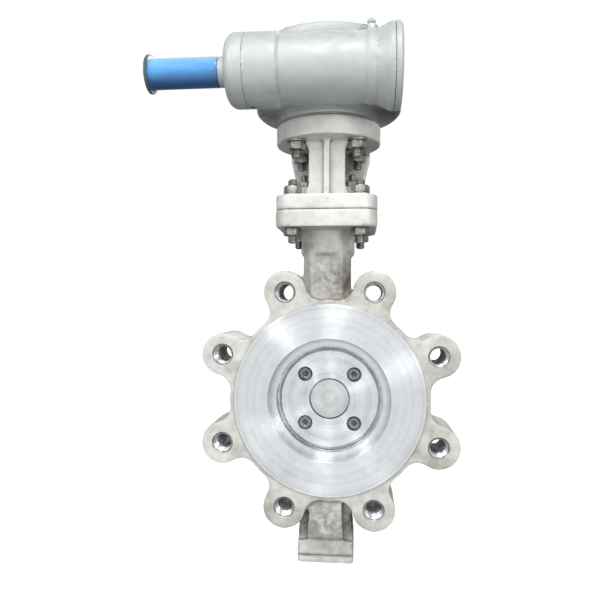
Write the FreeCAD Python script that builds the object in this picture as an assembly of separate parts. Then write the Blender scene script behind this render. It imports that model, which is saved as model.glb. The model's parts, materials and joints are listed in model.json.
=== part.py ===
import FreeCAD, Part
import math
import os

# Lug butterfly valve, NPS 4 class 150, triple-offset disc, with a bracket-mounted worm gearbox.
# The bore runs along Y, the stem along Z and the worm along X. All sizes are in millimetres.
# The origin is where the bore axis crosses the middle plane of the body.

# Pipe connection
FACE_TO_FACE = 54.0
RAISED_FACE_R = 78.6
RAISED_FACE_H = 2.0
RING_R = 82.0
BOLT_CIRCLE_R = 95.25
BOLT_COUNT = 8
LUG_R = 17.5
LUG_FILLET = 12.0
FLANGE_TAP_R = 6.75
FLANGE_TAP_CHAMFER = 2.0
FRONT_BORE_STEP = 5.0
REAR_BORE_STEP = 7.0

# Stem, seat and disc
STEM_X = -2.8
STEM_BEHIND_SEAT = 0.5
STEM_R = 8.0
SEAT_R = 44.5
SEAT_Y = -8.25
SEAT_RING_FRONT = -16.0
SEAT_RING_REAR = -5.0
SEAT_OPENING_LIP = 0.5
SEAT_OPENING_DEPTH = 4.0
CONE_HALF = math.radians(13.0)
CONE_TILT = math.radians(9.0)
SEAL_FRONT = -10.0
SEAL_LAYERS = 5
SEAL_LAYER_T = 0.7
DISC_RIM_GAP = 1.1
DISC_REAR = 2.0
DISC_HUB_WALL = 7.0
DISC_HUB_END_GAP = 6.5
DISC_HUB_GAP = 12.0
SPIGOT_R = 16.0
PLATE_FRONT = -15.0
PLATE_RIM_GAP = 2.5
PLATE_BEVEL = 2.2
PLATE_SCREW_R = 28.6
PLATE_HEAD_H = 3.9
PIN_R = 3.0
PIN_Z = 26.0
PLATE_BORE_GAP = 0.6
PLATE_SHANK_R = 3.0
PLATE_SCREW_HOLE_R = 3.2
PLATE_HEAD_R = 5.0
PLATE_COUNTERBORE_R = 5.65
DISC_RIB = (19.0, 26.0)
DISC_RIB_REAR = 8.0

# Body castings round the stem
BUSH_WALL = 3.0
NECK_HALF = 21.2
NECK_DEPTH = 22.0
NECK_CHAMFER = 7.5
NECK_TOP = 119.0
COLLAR_R = 22.8
TOP_FLANGE_BOTTOM = 140.4
TOP_FLANGE_T = 14.0
TOP_FLANGE_HALF = 41.3
TOP_FLANGE_CORNER = 13.0
PACKING_W = 6.0
PACKING_BOTTOM = 118.0
PACKING_RING_H = 5.0
PACKING_RING_COUNT = 4
PACKING_WASHER_T = 3.0
TRUNNION_HALF = 22.8
TRUNNION_BOTTOM = 128.5
TRUNNION_PAD_T = 12.0
STEM_BOTTOM = -112.0
BOTTOM_COVER_T = 4.5
BOTTOM_SCREW_AT = 16.0
BOTTOM_GASKET_T = 1.0
TRUNNION_CORNER = 2.5
THRUST_DISC_T = 4.0

# Gland
GLAND_FLANGE_Z = 170.0
GLAND_FLANGE_T = 8.0
GLAND_STUD_GAP = 3.5
GLAND_STUD_R = 3.0
GLAND_STUD_TOP = 189.0
GLAND_STUD_DEPTH = 13.0
GLAND_END_R = 7.0
GLAND_NUT_FLATS = 10.0
GLAND_NUT_H = 5.0

# Bracket
BRACKET_FOOT_T = 12.0
BRACKET_FOOT_CORNER = 15.0
BRACKET_FOOT_BORE_GAP = 2.0
BRACKET_H = 74.3
BRACKET_HEAD_T = 15.8
BRACKET_HEAD_R = 44.2
BRACKET_HEAD_BORE = 20.0
FOOT_STUD_AT = 27.5
FRONT_LEG_HALF = 15.0
FRONT_LEG_FLARE = 3.4
FRONT_LEG_GAP = 1.0
FRONT_LEG_T = 9.0
RIB_HALF = 2.6
RIB_PROUD = 5.5
REAR_LEG_T = 5.7
REAR_LEG_HALF_FOOT = 28.7
REAR_LEG_HALF_HEAD = 36.0
PILOT_R = 27.5
PILOT_DEPTH = 3.2
GEARBOX_PCD = 70.0
STUD_R = 4.0
STUD_HOLE_R = 4.5
NUT_FLATS = 13.0
NUT_H = 6.5
WASHER_R = 8.0
WASHER_T = 1.6

# Gearbox
GASKET_T = 0.8
HOUSING_FOOT_R = 44.2
HOUSING_FOOT_T = 8.5
HOUSING_FLOOR_T = 6.0
DRUM_R = 61.4
DRUM_WALL = 9.4
DRUM_H = 56.0
COVER_GASKET_T = 0.5
COVER_T = 8.0
COVER_BORE_R = 12.1
COVER_SCREW_COUNT = 6
COVER_SCREW_DEPTH = 8.0
COVER_HEAD_H = 5.0
COVER_COUNTERBORE_R = 4.5
SMALL_SCREW_R = 2.5
SMALL_HOLE_R = 2.8
SMALL_HEAD_R = 4.25
WORM_AXIS_H = 27.9
INPUT_BARREL_R = 28.0
MAIN_BARREL_R = 26.0
BARREL_LEFT = -62.5
BARREL_STEP = -37.0
BARREL_FLARE = (41.0, 46.5)
BARREL_RIGHT = 50.0
RIM_R = 32.0
BAND_X = 32.5
BAND_W = 4.5
BAND_PROUD = 1.2
END_COVER_T = 4.5
END_GASKET_T = 0.5
END_SCREW_AT = 25.8
END_SCREW_HEAD_R = 4.4
END_SCREW_HEAD_H = 2.2
END_SCREW_KEY = 3.0
END_SCREW_DEPTH = 5.4
SPIGOT_BORE_R = 18.0
END_CAP_T = 14.2
END_CAP_ROUND = 8.0
CAP_NOSE_R = 11.5
CAP_NOSE_L = 6.6
CAP_GASKET_T = 0.4
CAP_LOCK_R = 2.0
CAP_LOCK_IN = 5.0
CAP_LOCK_DEPTH = 1.5
CAP_LOCK_KEY = 2.0
INPUT_SHAFT_END = -134.5
STOP_X = 36.0
STOP_R = 5.0
STOP_BOSS_R = 9.0
STOP_BOSS_REAR = 67.0
STOP_TAIL = 77.0
STOP_NUT_FLATS = 16.0
STOP_NUT_H = 5.0
NIPPLE_R = 3.0
NIPPLE_FLATS = 9.0
NIPPLE_GAP = 8.2

# Indicator on the cover
DIAL_R = 27.0
DIAL_T = 1.0
POINTER_R = 16.0
POINTER_H = 9.4
POINTER_REACH = 23.0
POINTER_ARM_HALF = 2.5
POINTER_ARM_T = 4.0

# Worm gear
MODULE = 3.0
WHEEL_TEETH = 30
WORM_PITCH_R = 15.0
PRESSURE_ANGLE = math.radians(20.0)
FLANK_CLEARANCE = 0.4
WHEEL_FACE = 22.0
WHEEL_TIP_RELIEF = 0.7
WHEEL_HUB_WALL = 10.0
SECTOR_OFFSET = 12.0
WORM_LENGTH = 48.0
WORM_CHAMBER_R = 19.5
DRIVE_SLEEVE_WALL = 7.0
DRIVE_SPIGOT_R = 12.0
KEY_W = 6.0
KEY_H = 6.0

# Rolling bearings on the worm shaft
BEARING_R = 21.0
BEARING_BORE_R = 10.0
BEARING_W = 12.0
BEARING_LEFT_X = -54.0
BEARING_RIGHT_X = 34.0
BALL_CIRCLE_R = 15.5
BALL_R = 3.0
BALL_COUNT = 9
CIRCLIP_ROOT_R = 9.5
CIRCLIP_T = 1.2
SEAL_POCKET_R = 17.5
SEAL_W = 7.0

# Protective sleeve on the input shaft
SLEEVE_R = 11.7
SLEEVE_RIM_R = 14.8
SLEEVE_RIM_T = 2.5
SLEEVE_OUTER_END = -140.0

# Clearances
FIT = 0.03
RUNNING_FIT = 0.05
BODY_GAP = 0.3
SEAT_CLEARANCE = 0.25
OVER = 1.0

# Levels worked out from the sizes above
HALF_FACE = FACE_TO_FACE / 2
FRONT_BORE_R = SEAT_R + FRONT_BORE_STEP
REAR_BORE_R = SEAT_R + REAR_BORE_STEP
SEAT_OPENING_R = SEAT_R - SEAT_OPENING_LIP
DISC_R = SEAT_R - DISC_RIM_GAP
DISC_HUB_R = STEM_R + DISC_HUB_WALL
DISC_HUB_TOP = SEAT_R - DISC_HUB_END_GAP
PLATE_R = SEAT_R - PLATE_RIM_GAP
STEM_Y = SEAT_RING_REAR + STEM_R + STEM_BEHIND_SEAT
BUSH_R = STEM_R + BUSH_WALL
PACKING_R = STEM_R + PACKING_W
GLAND_STUD_AT = PACKING_R + GLAND_STUD_R + GLAND_STUD_GAP
BRACKET_FOOT_BORE = GLAND_STUD_AT + GLAND_STUD_R + BRACKET_FOOT_BORE_GAP
FRONT_LEG_FRONT = PACKING_R + FRONT_LEG_GAP + FRONT_LEG_T
DRIVE_SLEEVE_R = STEM_R + DRIVE_SLEEVE_WALL
WHEEL_HUB_R = DRIVE_SLEEVE_R + WHEEL_HUB_WALL
LUG_FACE = HALF_FACE - RAISED_FACE_H
SEAL_REAR = SEAL_FRONT + SEAL_LAYERS * SEAL_LAYER_T
PIN_FRONT = SEAL_REAR + 0.8
FLANGE_TOP = TOP_FLANGE_BOTTOM + TOP_FLANGE_T
FOOT_TOP = FLANGE_TOP + BRACKET_FOOT_T
BRACKET_TOP = FLANGE_TOP + BRACKET_H
HEAD_BOTTOM = BRACKET_TOP - BRACKET_HEAD_T
GEARBOX_Z = BRACKET_TOP + GASKET_T
FLOOR_Z = GEARBOX_Z + HOUSING_FOOT_T + HOUSING_FLOOR_T
DRUM_TOP = GEARBOX_Z + DRUM_H
COVER_Z = DRUM_TOP + COVER_GASKET_T
COVER_TOP = COVER_Z + COVER_T
DRUM_CAVITY_R = DRUM_R - DRUM_WALL
WORM_Z = GEARBOX_Z + WORM_AXIS_H
WHEEL_PITCH_R = MODULE * WHEEL_TEETH / 2
WORM_Y = STEM_Y - WHEEL_PITCH_R - WORM_PITCH_R
WORM_LEAD = math.pi * MODULE
DRIVE_BORE_TOP = WORM_Z + 18.0
PACKING_TOP = PACKING_BOTTOM + PACKING_WASHER_T + PACKING_RING_COUNT * PACKING_RING_H
HEAD_STUD_AT = GEARBOX_PCD / 2 * math.sqrt(0.5)
CAP_INNER = BARREL_LEFT - CAP_GASKET_T
CAP_OUTER = CAP_INNER - END_CAP_T
CAP_NOSE_END = CAP_OUTER - CAP_NOSE_L
CAP_SPIGOT_R = BEARING_R - 0.1
CAP_LOCK_AT = (BARREL_LEFT + CAP_LOCK_IN, WORM_Y)
CAP_LOCK_TIP = WORM_Z - CAP_SPIGOT_R + CAP_LOCK_DEPTH
END_COVER_X = BARREL_RIGHT + END_GASKET_T
BOTTOM_FACE = -TRUNNION_BOTTOM - BOTTOM_GASKET_T
POINTER_Z = COVER_TOP + DIAL_T + BODY_GAP
NIPPLE_Y = STEM_Y - math.sqrt((DRUM_R + NIPPLE_GAP) ** 2 - (BAND_X - STEM_X) ** 2)
NIPPLE_SEAT = WORM_Z + math.sqrt((MAIN_BARREL_R + BAND_PROUD) ** 2 - (NIPPLE_Y - WORM_Y) ** 2)
ON_STEM = (STEM_X, STEM_Y)
ON_WORM = (WORM_Y, WORM_Z)
CORNERS = [(-1, -1), (-1, 1), (1, -1), (1, 1)]
FOOT_STUDS = [(STEM_X + i * FOOT_STUD_AT, STEM_Y + j * FOOT_STUD_AT) for i, j in CORNERS]
HEAD_STUDS = [(STEM_X + i * HEAD_STUD_AT, STEM_Y + j * HEAD_STUD_AT) for i, j in CORNERS]
BOTTOM_SCREWS = [(STEM_X + i * BOTTOM_SCREW_AT, STEM_Y + j * BOTTOM_SCREW_AT) for i, j in CORNERS]
GLAND_STUDS = [(STEM_X - GLAND_STUD_AT, STEM_Y), (STEM_X + GLAND_STUD_AT, STEM_Y)]
DIRECTIONS = {
    "x": FreeCAD.Vector(1, 0, 0),
    "y": FreeCAD.Vector(0, 1, 0),
    "z": FreeCAD.Vector(0, 0, 1),
}


def place(axis, along, at):
    """Point at a distance along an axis; at holds the other two coordinates in X, Y, Z order."""
    if axis == "x":
        return FreeCAD.Vector(along, at[0], at[1])
    if axis == "y":
        return FreeCAD.Vector(at[0], along, at[1])
    return FreeCAD.Vector(at[0], at[1], along)


def rod(axis, radius, start, end, at=(0.0, 0.0)):
    """Solid cylinder between two places on an axis."""
    return Part.makeCylinder(radius, end - start, place(axis, start, at), DIRECTIONS[axis])


def tube(axis, outer, inner, start, end, at=(0.0, 0.0)):
    """Cylinder with a through bore."""
    return rod(axis, outer, start, end, at).cut(rod(axis, inner, start - OVER, end + OVER, at))


def taper(axis, first, last, start, end, at=(0.0, 0.0)):
    """Cone frustum between two places on an axis."""
    return Part.makeCone(first, last, end - start, place(axis, start, at), DIRECTIONS[axis])


def block(x, y, z):
    """Box from three (low, high) pairs."""
    corner = FreeCAD.Vector(x[0], y[0], z[0])
    return Part.makeBox(x[1] - x[0], y[1] - y[0], z[1] - z[0], corner)


def about_x(half):
    """Span in X centred on the stem."""
    return (STEM_X - half, STEM_X + half)


def about_y(half):
    """Span in Y centred on the stem."""
    return (STEM_Y - half, STEM_Y + half)


def fused(shapes):
    """One clean solid from overlapping shapes."""
    return shapes[0].multiFuse(shapes[1:]).removeSplitter()


def group(shapes):
    """Separate solids kept together in one sub-part."""
    return Part.makeCompound(shapes)


def bored(shape, tools):
    """Shape with several cuts made at once."""
    return shape.cut(group(tools))


def extruded(corners, depth):
    """Solid pushed out from a flat closed polygon along the depth vector."""
    wire = Part.makePolygon(corners + corners[:1])
    return Part.Face(wire).extrude(depth)


def turned(axis, outline, at=(0.0, 0.0)):
    """Solid of revolution from a closed outline of (radius, place along the axis) points."""
    spots = {"x": lambda r, a: (a, r, 0), "y": lambda r, a: (r, a, 0), "z": lambda r, a: (r, 0, a)}
    corners = [FreeCAD.Vector(*spots[axis](r, a)) for r, a in outline]
    wire = Part.makePolygon(corners + corners[:1])
    solid = Part.Face(wire).revolve(FreeCAD.Vector(), DIRECTIONS[axis], 360)
    solid.translate(place(axis, 0.0, at))
    return Part.makeSolid(solid) if solid.ShapeType == "Shell" else solid


def chamfered_rod(axis, radius, start, end, chamfer, at=(0.0, 0.0)):
    """Rod with both ends chamfered."""
    outline = [(0, start), (radius - chamfer, start), (radius, start + chamfer)]
    outline += [(radius, end - chamfer), (radius - chamfer, end), (0, end)]
    return turned(axis, outline, at)


def rounded_plate(half, corner, bottom, top):
    """Square plate with rounded vertical edges, centred on the stem."""
    plate = block(about_x(half), about_y(half), (bottom, top))
    upright = [e for e in plate.Edges if abs(e.tangentAt(e.FirstParameter).z) > 0.9]
    return plate.makeFillet(corner, upright)


def eight_sided(half_x, half_y, chamfer, bottom, top):
    """Upright rectangular column with chamfered corners, centred on the stem."""
    quarter = [(half_x - chamfer, half_y), (half_x, half_y - chamfer)]
    points = quarter + [(x, -y) for x, y in reversed(quarter)]
    points += [(-x, -y) for x, y in quarter] + [(-x, y) for x, y in reversed(quarter)]
    corners = [FreeCAD.Vector(STEM_X + x, STEM_Y + y, bottom) for x, y in points]
    return extruded(corners, FreeCAD.Vector(0, 0, top - bottom))


def hexagon(axis, flats, start, end, at=(0.0, 0.0), turn=0.0):
    """Hexagonal bar; turn is the first corner's angle in degrees."""
    corner_r = flats / math.sqrt(3)
    first, second = [d for name, d in sorted(DIRECTIONS.items()) if name != axis]
    base = place(axis, start, at)
    corners = []
    for i in range(6):
        angle = math.radians(turn + 60 * i)
        corners.append(base + first * (corner_r * math.cos(angle)) + second * (corner_r * math.sin(angle)))
    return extruded(corners, DIRECTIONS[axis] * (end - start))


def hex_nut(axis, flats, bore_r, start, end, at=(0.0, 0.0)):
    """Hexagonal nut with chamfered corners."""
    corner_r = flats / math.sqrt(3)
    blank = hexagon(axis, flats, start, end, at)
    envelope = chamfered_rod(axis, corner_r + 0.01, start, end, corner_r - flats / 2, at)
    return blank.common(envelope).cut(rod(axis, bore_r, start - OVER, end + OVER, at))


def washer(axis, outer, inner, start, end, at=(0.0, 0.0)):
    """Flat round washer."""
    return tube(axis, outer, inner, start, end, at)


def socket_screw(axis, shank_r, head_r, head_h, top, tip, at=(0.0, 0.0)):
    """Socket-head screw whose head ends at top; tip is the far end of the shank."""
    sense = 1 if tip > top else -1
    neck = top + sense * head_h
    spans = [sorted((top, neck)), sorted((neck - sense * 0.1, tip))]
    head = rod(axis, head_r, spans[0][0], spans[0][1], at)
    shank = rod(axis, shank_r, spans[1][0], spans[1][1], at)
    recess = sorted((top - sense * OVER, top + sense * head_h * 0.6))
    return head.fuse(shank).removeSplitter().cut(hexagon(axis, shank_r * 1.65, recess[0], recess[1], at))


def arc_edge(center, radius, first, last, y):
    """Arc in a plane square to Y, from one angle to another in radians."""
    ends = []
    for angle in (first, (first + last) / 2, last):
        x = center[0] + radius * math.cos(angle)
        z = center[1] + radius * math.sin(angle)
        ends.append(FreeCAD.Vector(x, y, z))
    return Part.Arc(*ends).toShape()


def lobed_ring(y_front, y_rear):
    """Ring with a lug at each bolt, joined to it by concave fillets."""
    to_ring = RING_R + LUG_FILLET
    to_lug = LUG_R + LUG_FILLET
    spread = math.acos((to_ring**2 + BOLT_CIRCLE_R**2 - to_lug**2) / (2 * to_ring * BOLT_CIRCLE_R))
    corner_x = to_ring * math.cos(spread) - BOLT_CIRCLE_R
    corner_angle = math.atan2(to_ring * math.sin(spread), corner_x)
    pitch = 2 * math.pi / BOLT_COUNT
    edges = []
    for i in range(BOLT_COUNT):
        middle = (i + 0.5) * pitch
        lug = (BOLT_CIRCLE_R * math.cos(middle), BOLT_CIRCLE_R * math.sin(middle))
        before = (to_ring * math.cos(middle - spread), to_ring * math.sin(middle - spread))
        after = (to_ring * math.cos(middle + spread), to_ring * math.sin(middle + spread))
        start = middle - spread + math.pi
        turn_to = middle - corner_angle + math.pi
        edges.append(arc_edge(before, LUG_FILLET, start, turn_to - 2 * math.pi * (turn_to > start), y_front))
        edges.append(arc_edge(lug, LUG_R, middle - corner_angle, middle + corner_angle, y_front))
        start = middle + corner_angle + math.pi
        turn_to = middle + spread + math.pi
        edges.append(arc_edge(after, LUG_FILLET, start, turn_to - 2 * math.pi * (turn_to > start), y_front))
        edges.append(arc_edge((0, 0), RING_R, middle + spread, middle + pitch - spread, y_front))
    wire = Part.Wire(Part.__sortEdges__(edges))
    return Part.Face(wire).extrude(FreeCAD.Vector(0, y_rear - y_front, 0))


def flange_hole_places():
    """X and Z of each tapped lug hole."""
    pitch = 2 * math.pi / BOLT_COUNT
    angles = [(i + 0.5) * pitch for i in range(BOLT_COUNT)]
    return [(BOLT_CIRCLE_R * math.cos(a), BOLT_CIRCLE_R * math.sin(a)) for a in angles]


def ring_places(count, radius, center, first=0.0):
    """Evenly spaced places on a circle about a centre."""
    angles = [math.radians(first) + 2 * math.pi * i / count for i in range(count)]
    return [(center[0] + radius * math.cos(a), center[1] + radius * math.sin(a)) for a in angles]


def valve_body():
    """Cast lug body with neck, stuffing box, top flange and lower trunnion."""
    trunnion_z = -TRUNNION_BOTTOM + TRUNNION_PAD_T
    shapes = [lobed_ring(-LUG_FACE, LUG_FACE), rod("y", RAISED_FACE_R, -HALF_FACE, HALF_FACE)]
    shapes.append(eight_sided(NECK_HALF, NECK_DEPTH, NECK_CHAMFER, RING_R - 12, NECK_TOP))
    shapes.append(rod("z", COLLAR_R, NECK_TOP - OVER, TOP_FLANGE_BOTTOM + OVER, ON_STEM))
    shapes.append(rounded_plate(TOP_FLANGE_HALF, TOP_FLANGE_CORNER, TOP_FLANGE_BOTTOM, FLANGE_TOP))
    shapes.append(eight_sided(TRUNNION_HALF, NECK_DEPTH, NECK_CHAMFER, trunnion_z - OVER, 12 - RING_R))
    shapes.append(rounded_plate(TRUNNION_HALF, TRUNNION_CORNER, -TRUNNION_BOTTOM, trunnion_z))
    cuts = [rod("y", FRONT_BORE_R, -HALF_FACE - OVER, SEAT_RING_FRONT + OVER)]
    cuts.append(rod("y", REAR_BORE_R, SEAT_RING_FRONT, HALF_FACE + OVER))
    cuts.append(rod("z", BUSH_R, FRONT_BORE_R - 20, PACKING_BOTTOM + OVER, ON_STEM))
    cuts.append(rod("z", PACKING_R, PACKING_BOTTOM, FLANGE_TOP + OVER, ON_STEM))
    cuts.append(rod("z", BUSH_R, -TRUNNION_BOTTOM - OVER, 20 - FRONT_BORE_R, ON_STEM))
    for at in flange_hole_places():
        cuts.append(rod("y", FLANGE_TAP_R, -HALF_FACE - OVER, HALF_FACE + OVER, at))
        wide = FLANGE_TAP_R + FLANGE_TAP_CHAMFER
        cuts.append(taper("y", wide, FLANGE_TAP_R, -LUG_FACE, FLANGE_TAP_CHAMFER - LUG_FACE, at))
        cuts.append(taper("y", FLANGE_TAP_R, wide, LUG_FACE - FLANGE_TAP_CHAMFER, LUG_FACE, at))
    for at in FOOT_STUDS:
        cuts.append(rod("z", STUD_HOLE_R, TOP_FLANGE_BOTTOM - OVER, FLANGE_TOP + OVER, at))
    for at in GLAND_STUDS:
        cuts.append(rod("z", GLAND_STUD_R + FIT, FLANGE_TOP - GLAND_STUD_DEPTH, FLANGE_TOP + OVER, at))
    for at in BOTTOM_SCREWS:
        cuts.append(rod("z", SMALL_SCREW_R + FIT, -TRUNNION_BOTTOM - OVER, 11 - TRUNNION_BOTTOM, at))
    return bored(fused(shapes), cuts)


def seat_cone(clearance):
    """Tilted sealing cone, widened square to its surface by the clearance."""
    wide_slope = math.tan(CONE_HALF + CONE_TILT)
    steep_slope = math.tan(CONE_HALF - CONE_TILT)
    reach = 2 * SEAT_R / (wide_slope + steep_slope)
    direction = FreeCAD.Vector(math.sin(CONE_TILT), math.cos(CONE_TILT), 0)
    apex = FreeCAD.Vector(SEAT_R - wide_slope * reach, SEAT_Y - reach, 0)
    apex = apex - direction * (clearance / math.sin(CONE_HALF))
    length = reach * 1.3
    return Part.makeCone(0, length * math.tan(CONE_HALF), length, apex, direction)


def seat_ring():
    """Replaceable seat with the conical sealing bore."""
    ring = rod("y", REAR_BORE_R - FIT, SEAT_RING_FRONT, SEAT_RING_REAR)
    ring = ring.cut(seat_cone(SEAT_CLEARANCE))
    return ring.cut(rod("y", SEAT_OPENING_R, SEAT_RING_FRONT - OVER, SEAT_RING_FRONT + SEAT_OPENING_DEPTH))


def plate_screw_places():
    """The four retaining plate screws, on the diagonals."""
    return ring_places(4, PLATE_SCREW_R, (0.0, 0.0), 45)


def disc():
    """Disc with its rear stem hubs and the central spigot that carries the seal stack."""
    hub_flat = block(about_x(20), (SEAL_REAR, 30), (-DISC_HUB_TOP, DISC_HUB_TOP))
    hub = rod("z", DISC_HUB_R, -DISC_HUB_TOP, DISC_HUB_TOP, ON_STEM).common(hub_flat)
    window = block((-50, 50), (DISC_REAR, 30), (-DISC_HUB_GAP, DISC_HUB_GAP))
    shapes = [rod("y", DISC_R, SEAL_REAR, DISC_REAR), hub.cut(window)]
    shapes.append(rod("y", SPIGOT_R, PLATE_FRONT - 0.4, SEAL_REAR + OVER))
    for side in (-1, 1):
        near, far = DISC_RIB
        depth = (SEAL_REAR, DISC_RIB_REAR)
        shapes.append(block(sorted((STEM_X + side * near, STEM_X + side * far)), depth, (-far, far)))
        for span in ((near + 1, far), (-far, -near - 1)):
            shapes.append(block(sorted((STEM_X, STEM_X + side * far)), depth, span))
    cuts = [rod("z", STEM_R + FIT, -DISC_R - OVER, DISC_R + OVER, ON_STEM)]
    for at in plate_screw_places():
        cuts.append(rod("y", PLATE_SHANK_R + FIT, SEAL_REAR - OVER, DISC_REAR - 1, at))
    for side in (-1, 1):
        cuts.append(rod("y", PIN_R + FIT, PIN_FRONT, 30, (STEM_X, side * PIN_Z)))
    return bored(fused(shapes), cuts)


def seal_layer(index):
    """One lamination of the conical seal ring."""
    front = SEAL_FRONT + index * SEAL_LAYER_T
    sheet = seat_cone(0.0).common(rod("y", REAR_BORE_R, front, front + SEAL_LAYER_T))
    holes = [rod("y", SPIGOT_R + FIT, front - OVER, front + OVER + SEAL_LAYER_T)]
    for at in plate_screw_places():
        holes.append(rod("y", PLATE_SCREW_HOLE_R, front - OVER, front + OVER + SEAL_LAYER_T, at))
    return bored(sheet, holes)


def retaining_plate():
    """Front plate that clamps the seal stack."""
    bore = SPIGOT_R + PLATE_BORE_GAP
    outline = [(bore, PLATE_FRONT), (PLATE_R - PLATE_BEVEL, PLATE_FRONT)]
    outline += [(PLATE_R, PLATE_FRONT + PLATE_BEVEL), (PLATE_R, SEAL_FRONT), (bore, SEAL_FRONT)]
    holes = []
    for at in plate_screw_places():
        holes.append(rod("y", PLATE_SCREW_HOLE_R, PLATE_FRONT - OVER, SEAL_FRONT + OVER, at))
        floor = PLATE_FRONT + PLATE_HEAD_H + 0.1
        holes.append(rod("y", PLATE_COUNTERBORE_R, PLATE_FRONT - OVER, floor, at))
    return bored(turned("y", outline), holes)


def retaining_screws():
    """Low socket-head screws of the retaining plate."""
    tip = DISC_REAR - 1.5
    top = PLATE_FRONT + 0.1
    screws = []
    for at in plate_screw_places():
        screws.append(socket_screw("y", PLATE_SHANK_R, PLATE_HEAD_R, PLATE_HEAD_H, top, tip, at))
    return group(screws)


def stem():
    """Stem with its pin holes and the keyway at the top."""
    top = DRIVE_BORE_TOP - OVER
    shaft = chamfered_rod("z", STEM_R, STEM_BOTTOM, top, 1.0, ON_STEM)
    cuts = [rod("y", PIN_R + FIT, -20, 30, (STEM_X, side * PIN_Z)) for side in (-1, 1)]
    cuts.append(stem_key_block(FIT))
    return bored(shaft, cuts)


def stem_key_block(clearance):
    """Key between stem and drive sleeve, widened by a clearance."""
    x = (STEM_X + STEM_R - KEY_H / 2 - clearance, STEM_X + STEM_R + KEY_H / 2 + clearance)
    y = about_y(KEY_W / 2 + clearance)
    return block(x, y, (GEARBOX_Z + 4 - clearance, DRIVE_BORE_TOP - 6 + clearance))


def wheel_key_block(clearance):
    """Key between drive sleeve and worm wheel, widened by a clearance."""
    x = (STEM_X - DRIVE_SLEEVE_R - KEY_H / 2 - clearance, STEM_X - DRIVE_SLEEVE_R + KEY_H / 2 + clearance)
    y = about_y(KEY_W / 2 + clearance)
    return block(x, y, (FLOOR_Z + 2 - clearance, DRIVE_BORE_TOP - 4 + clearance))


def drive_sleeve():
    """Keyed sleeve that carries the worm wheel and turns the stem."""
    bottom = GEARBOX_Z - PILOT_DEPTH
    outline = [(0, bottom), (DRIVE_SLEEVE_R, bottom), (DRIVE_SLEEVE_R, DRIVE_BORE_TOP + 4)]
    outline += [(DRIVE_SPIGOT_R, DRIVE_BORE_TOP + 4), (DRIVE_SPIGOT_R, COVER_TOP - 0.5), (0, COVER_TOP - 0.5)]
    cuts = [rod("z", STEM_R + FIT, bottom - OVER, DRIVE_BORE_TOP, ON_STEM)]
    cuts.append(stem_key_block(FIT))
    cuts.append(wheel_key_block(FIT))
    cuts.append(rod("z", SMALL_SCREW_R + FIT, COVER_TOP - 12, COVER_TOP, ON_STEM))
    return bored(turned("z", outline, ON_STEM), cuts)


def wheel_gap(angle):
    """Space between two wheel teeth, as a slightly twisted wedge."""
    helix = WHEEL_FACE / 2 * WORM_LEAD / (2 * math.pi * WORM_PITCH_R) / WHEEL_PITCH_R
    half_pitch = WORM_LEAD / 4 + FLANK_CLEARANCE
    rows = [(WHEEL_PITCH_R - 1.25 * MODULE, -1.25 * MODULE), (WHEEL_PITCH_R + MODULE + OVER, MODULE + OVER)]
    wires = []
    for z, turn in ((WORM_Z - WHEEL_FACE / 2 - OVER, -helix), (WORM_Z + WHEEL_FACE / 2 + OVER, helix)):
        points = []
        for radius, rise in rows:
            half = half_pitch + rise * math.tan(PRESSURE_ANGLE)
            points.append((radius, half))
        ring = [(points[0][0], -points[0][1]), (points[1][0], -points[1][1]), points[1], points[0]]
        corners = []
        for radial, across in ring:
            c = math.cos(angle + turn)
            s = math.sin(angle + turn)
            x = STEM_X + radial * c - across * s
            corners.append(FreeCAD.Vector(x, STEM_Y + radial * s + across * c, z))
        wires.append(Part.makePolygon(corners + corners[:1]))
    return Part.makeLoft(wires, True, True)


def worm_wheel():
    """Toothed sector on a full hub; its two straight ends meet the travel stops."""
    low = WORM_Z - WHEEL_FACE / 2
    high = WORM_Z + WHEEL_FACE / 2
    tip_r = WHEEL_PITCH_R + MODULE - WHEEL_TIP_RELIEF
    right = STEM_X + SECTOR_OFFSET
    rear = STEM_Y + SECTOR_OFFSET
    corner = block((right - 90, right), (rear - 90, rear), (low - OVER, high + OVER))
    sector = rod("z", tip_r, low, high, ON_STEM).common(corner)
    pitch = 2 * math.pi / WHEEL_TEETH
    gaps = [wheel_gap(-math.pi / 2 + i * pitch) for i in range(-9, 3)]
    sector = sector.cut(group(gaps))
    hub = rod("z", WHEEL_HUB_R, FLOOR_Z + BODY_GAP, high + 2, ON_STEM)
    cuts = [rod("z", DRIVE_SLEEVE_R + FIT, FLOOR_Z - OVER, high + 5, ON_STEM), wheel_key_block(FIT)]
    return bored(fused([sector, hub]), cuts)


def worm_thread():
    """Right-hand worm thread with a straight-sided tooth."""
    length = WORM_LENGTH
    root = WORM_PITCH_R - 1.25 * MODULE - 0.4
    tip = WORM_PITCH_R + MODULE
    helix = Part.makeHelix(WORM_LEAD, length - WORM_LEAD, WORM_PITCH_R)
    points = []
    for radius, side in ((root, -1), (tip, -1), (tip, 1), (root, 1)):
        half = WORM_LEAD / 4 - (radius - WORM_PITCH_R) * math.tan(PRESSURE_ANGLE)
        points.append(FreeCAD.Vector(radius, 0, side * half))
    section = Part.makePolygon(points + points[:1])
    thread = Part.Wire(helix.Edges).makePipeShell([section], True, True)
    turns = (length - WORM_LEAD) / WORM_LEAD
    thread.translate(FreeCAD.Vector(0, 0, -(length - WORM_LEAD) / 2))
    thread.rotate(FreeCAD.Vector(), DIRECTIONS["z"], -turns * 180)
    thread.rotate(FreeCAD.Vector(), DIRECTIONS["y"], 90)
    thread.rotate(FreeCAD.Vector(), DIRECTIONS["x"], 90)
    thread.translate(place("x", STEM_X, ON_WORM))
    return thread


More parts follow.
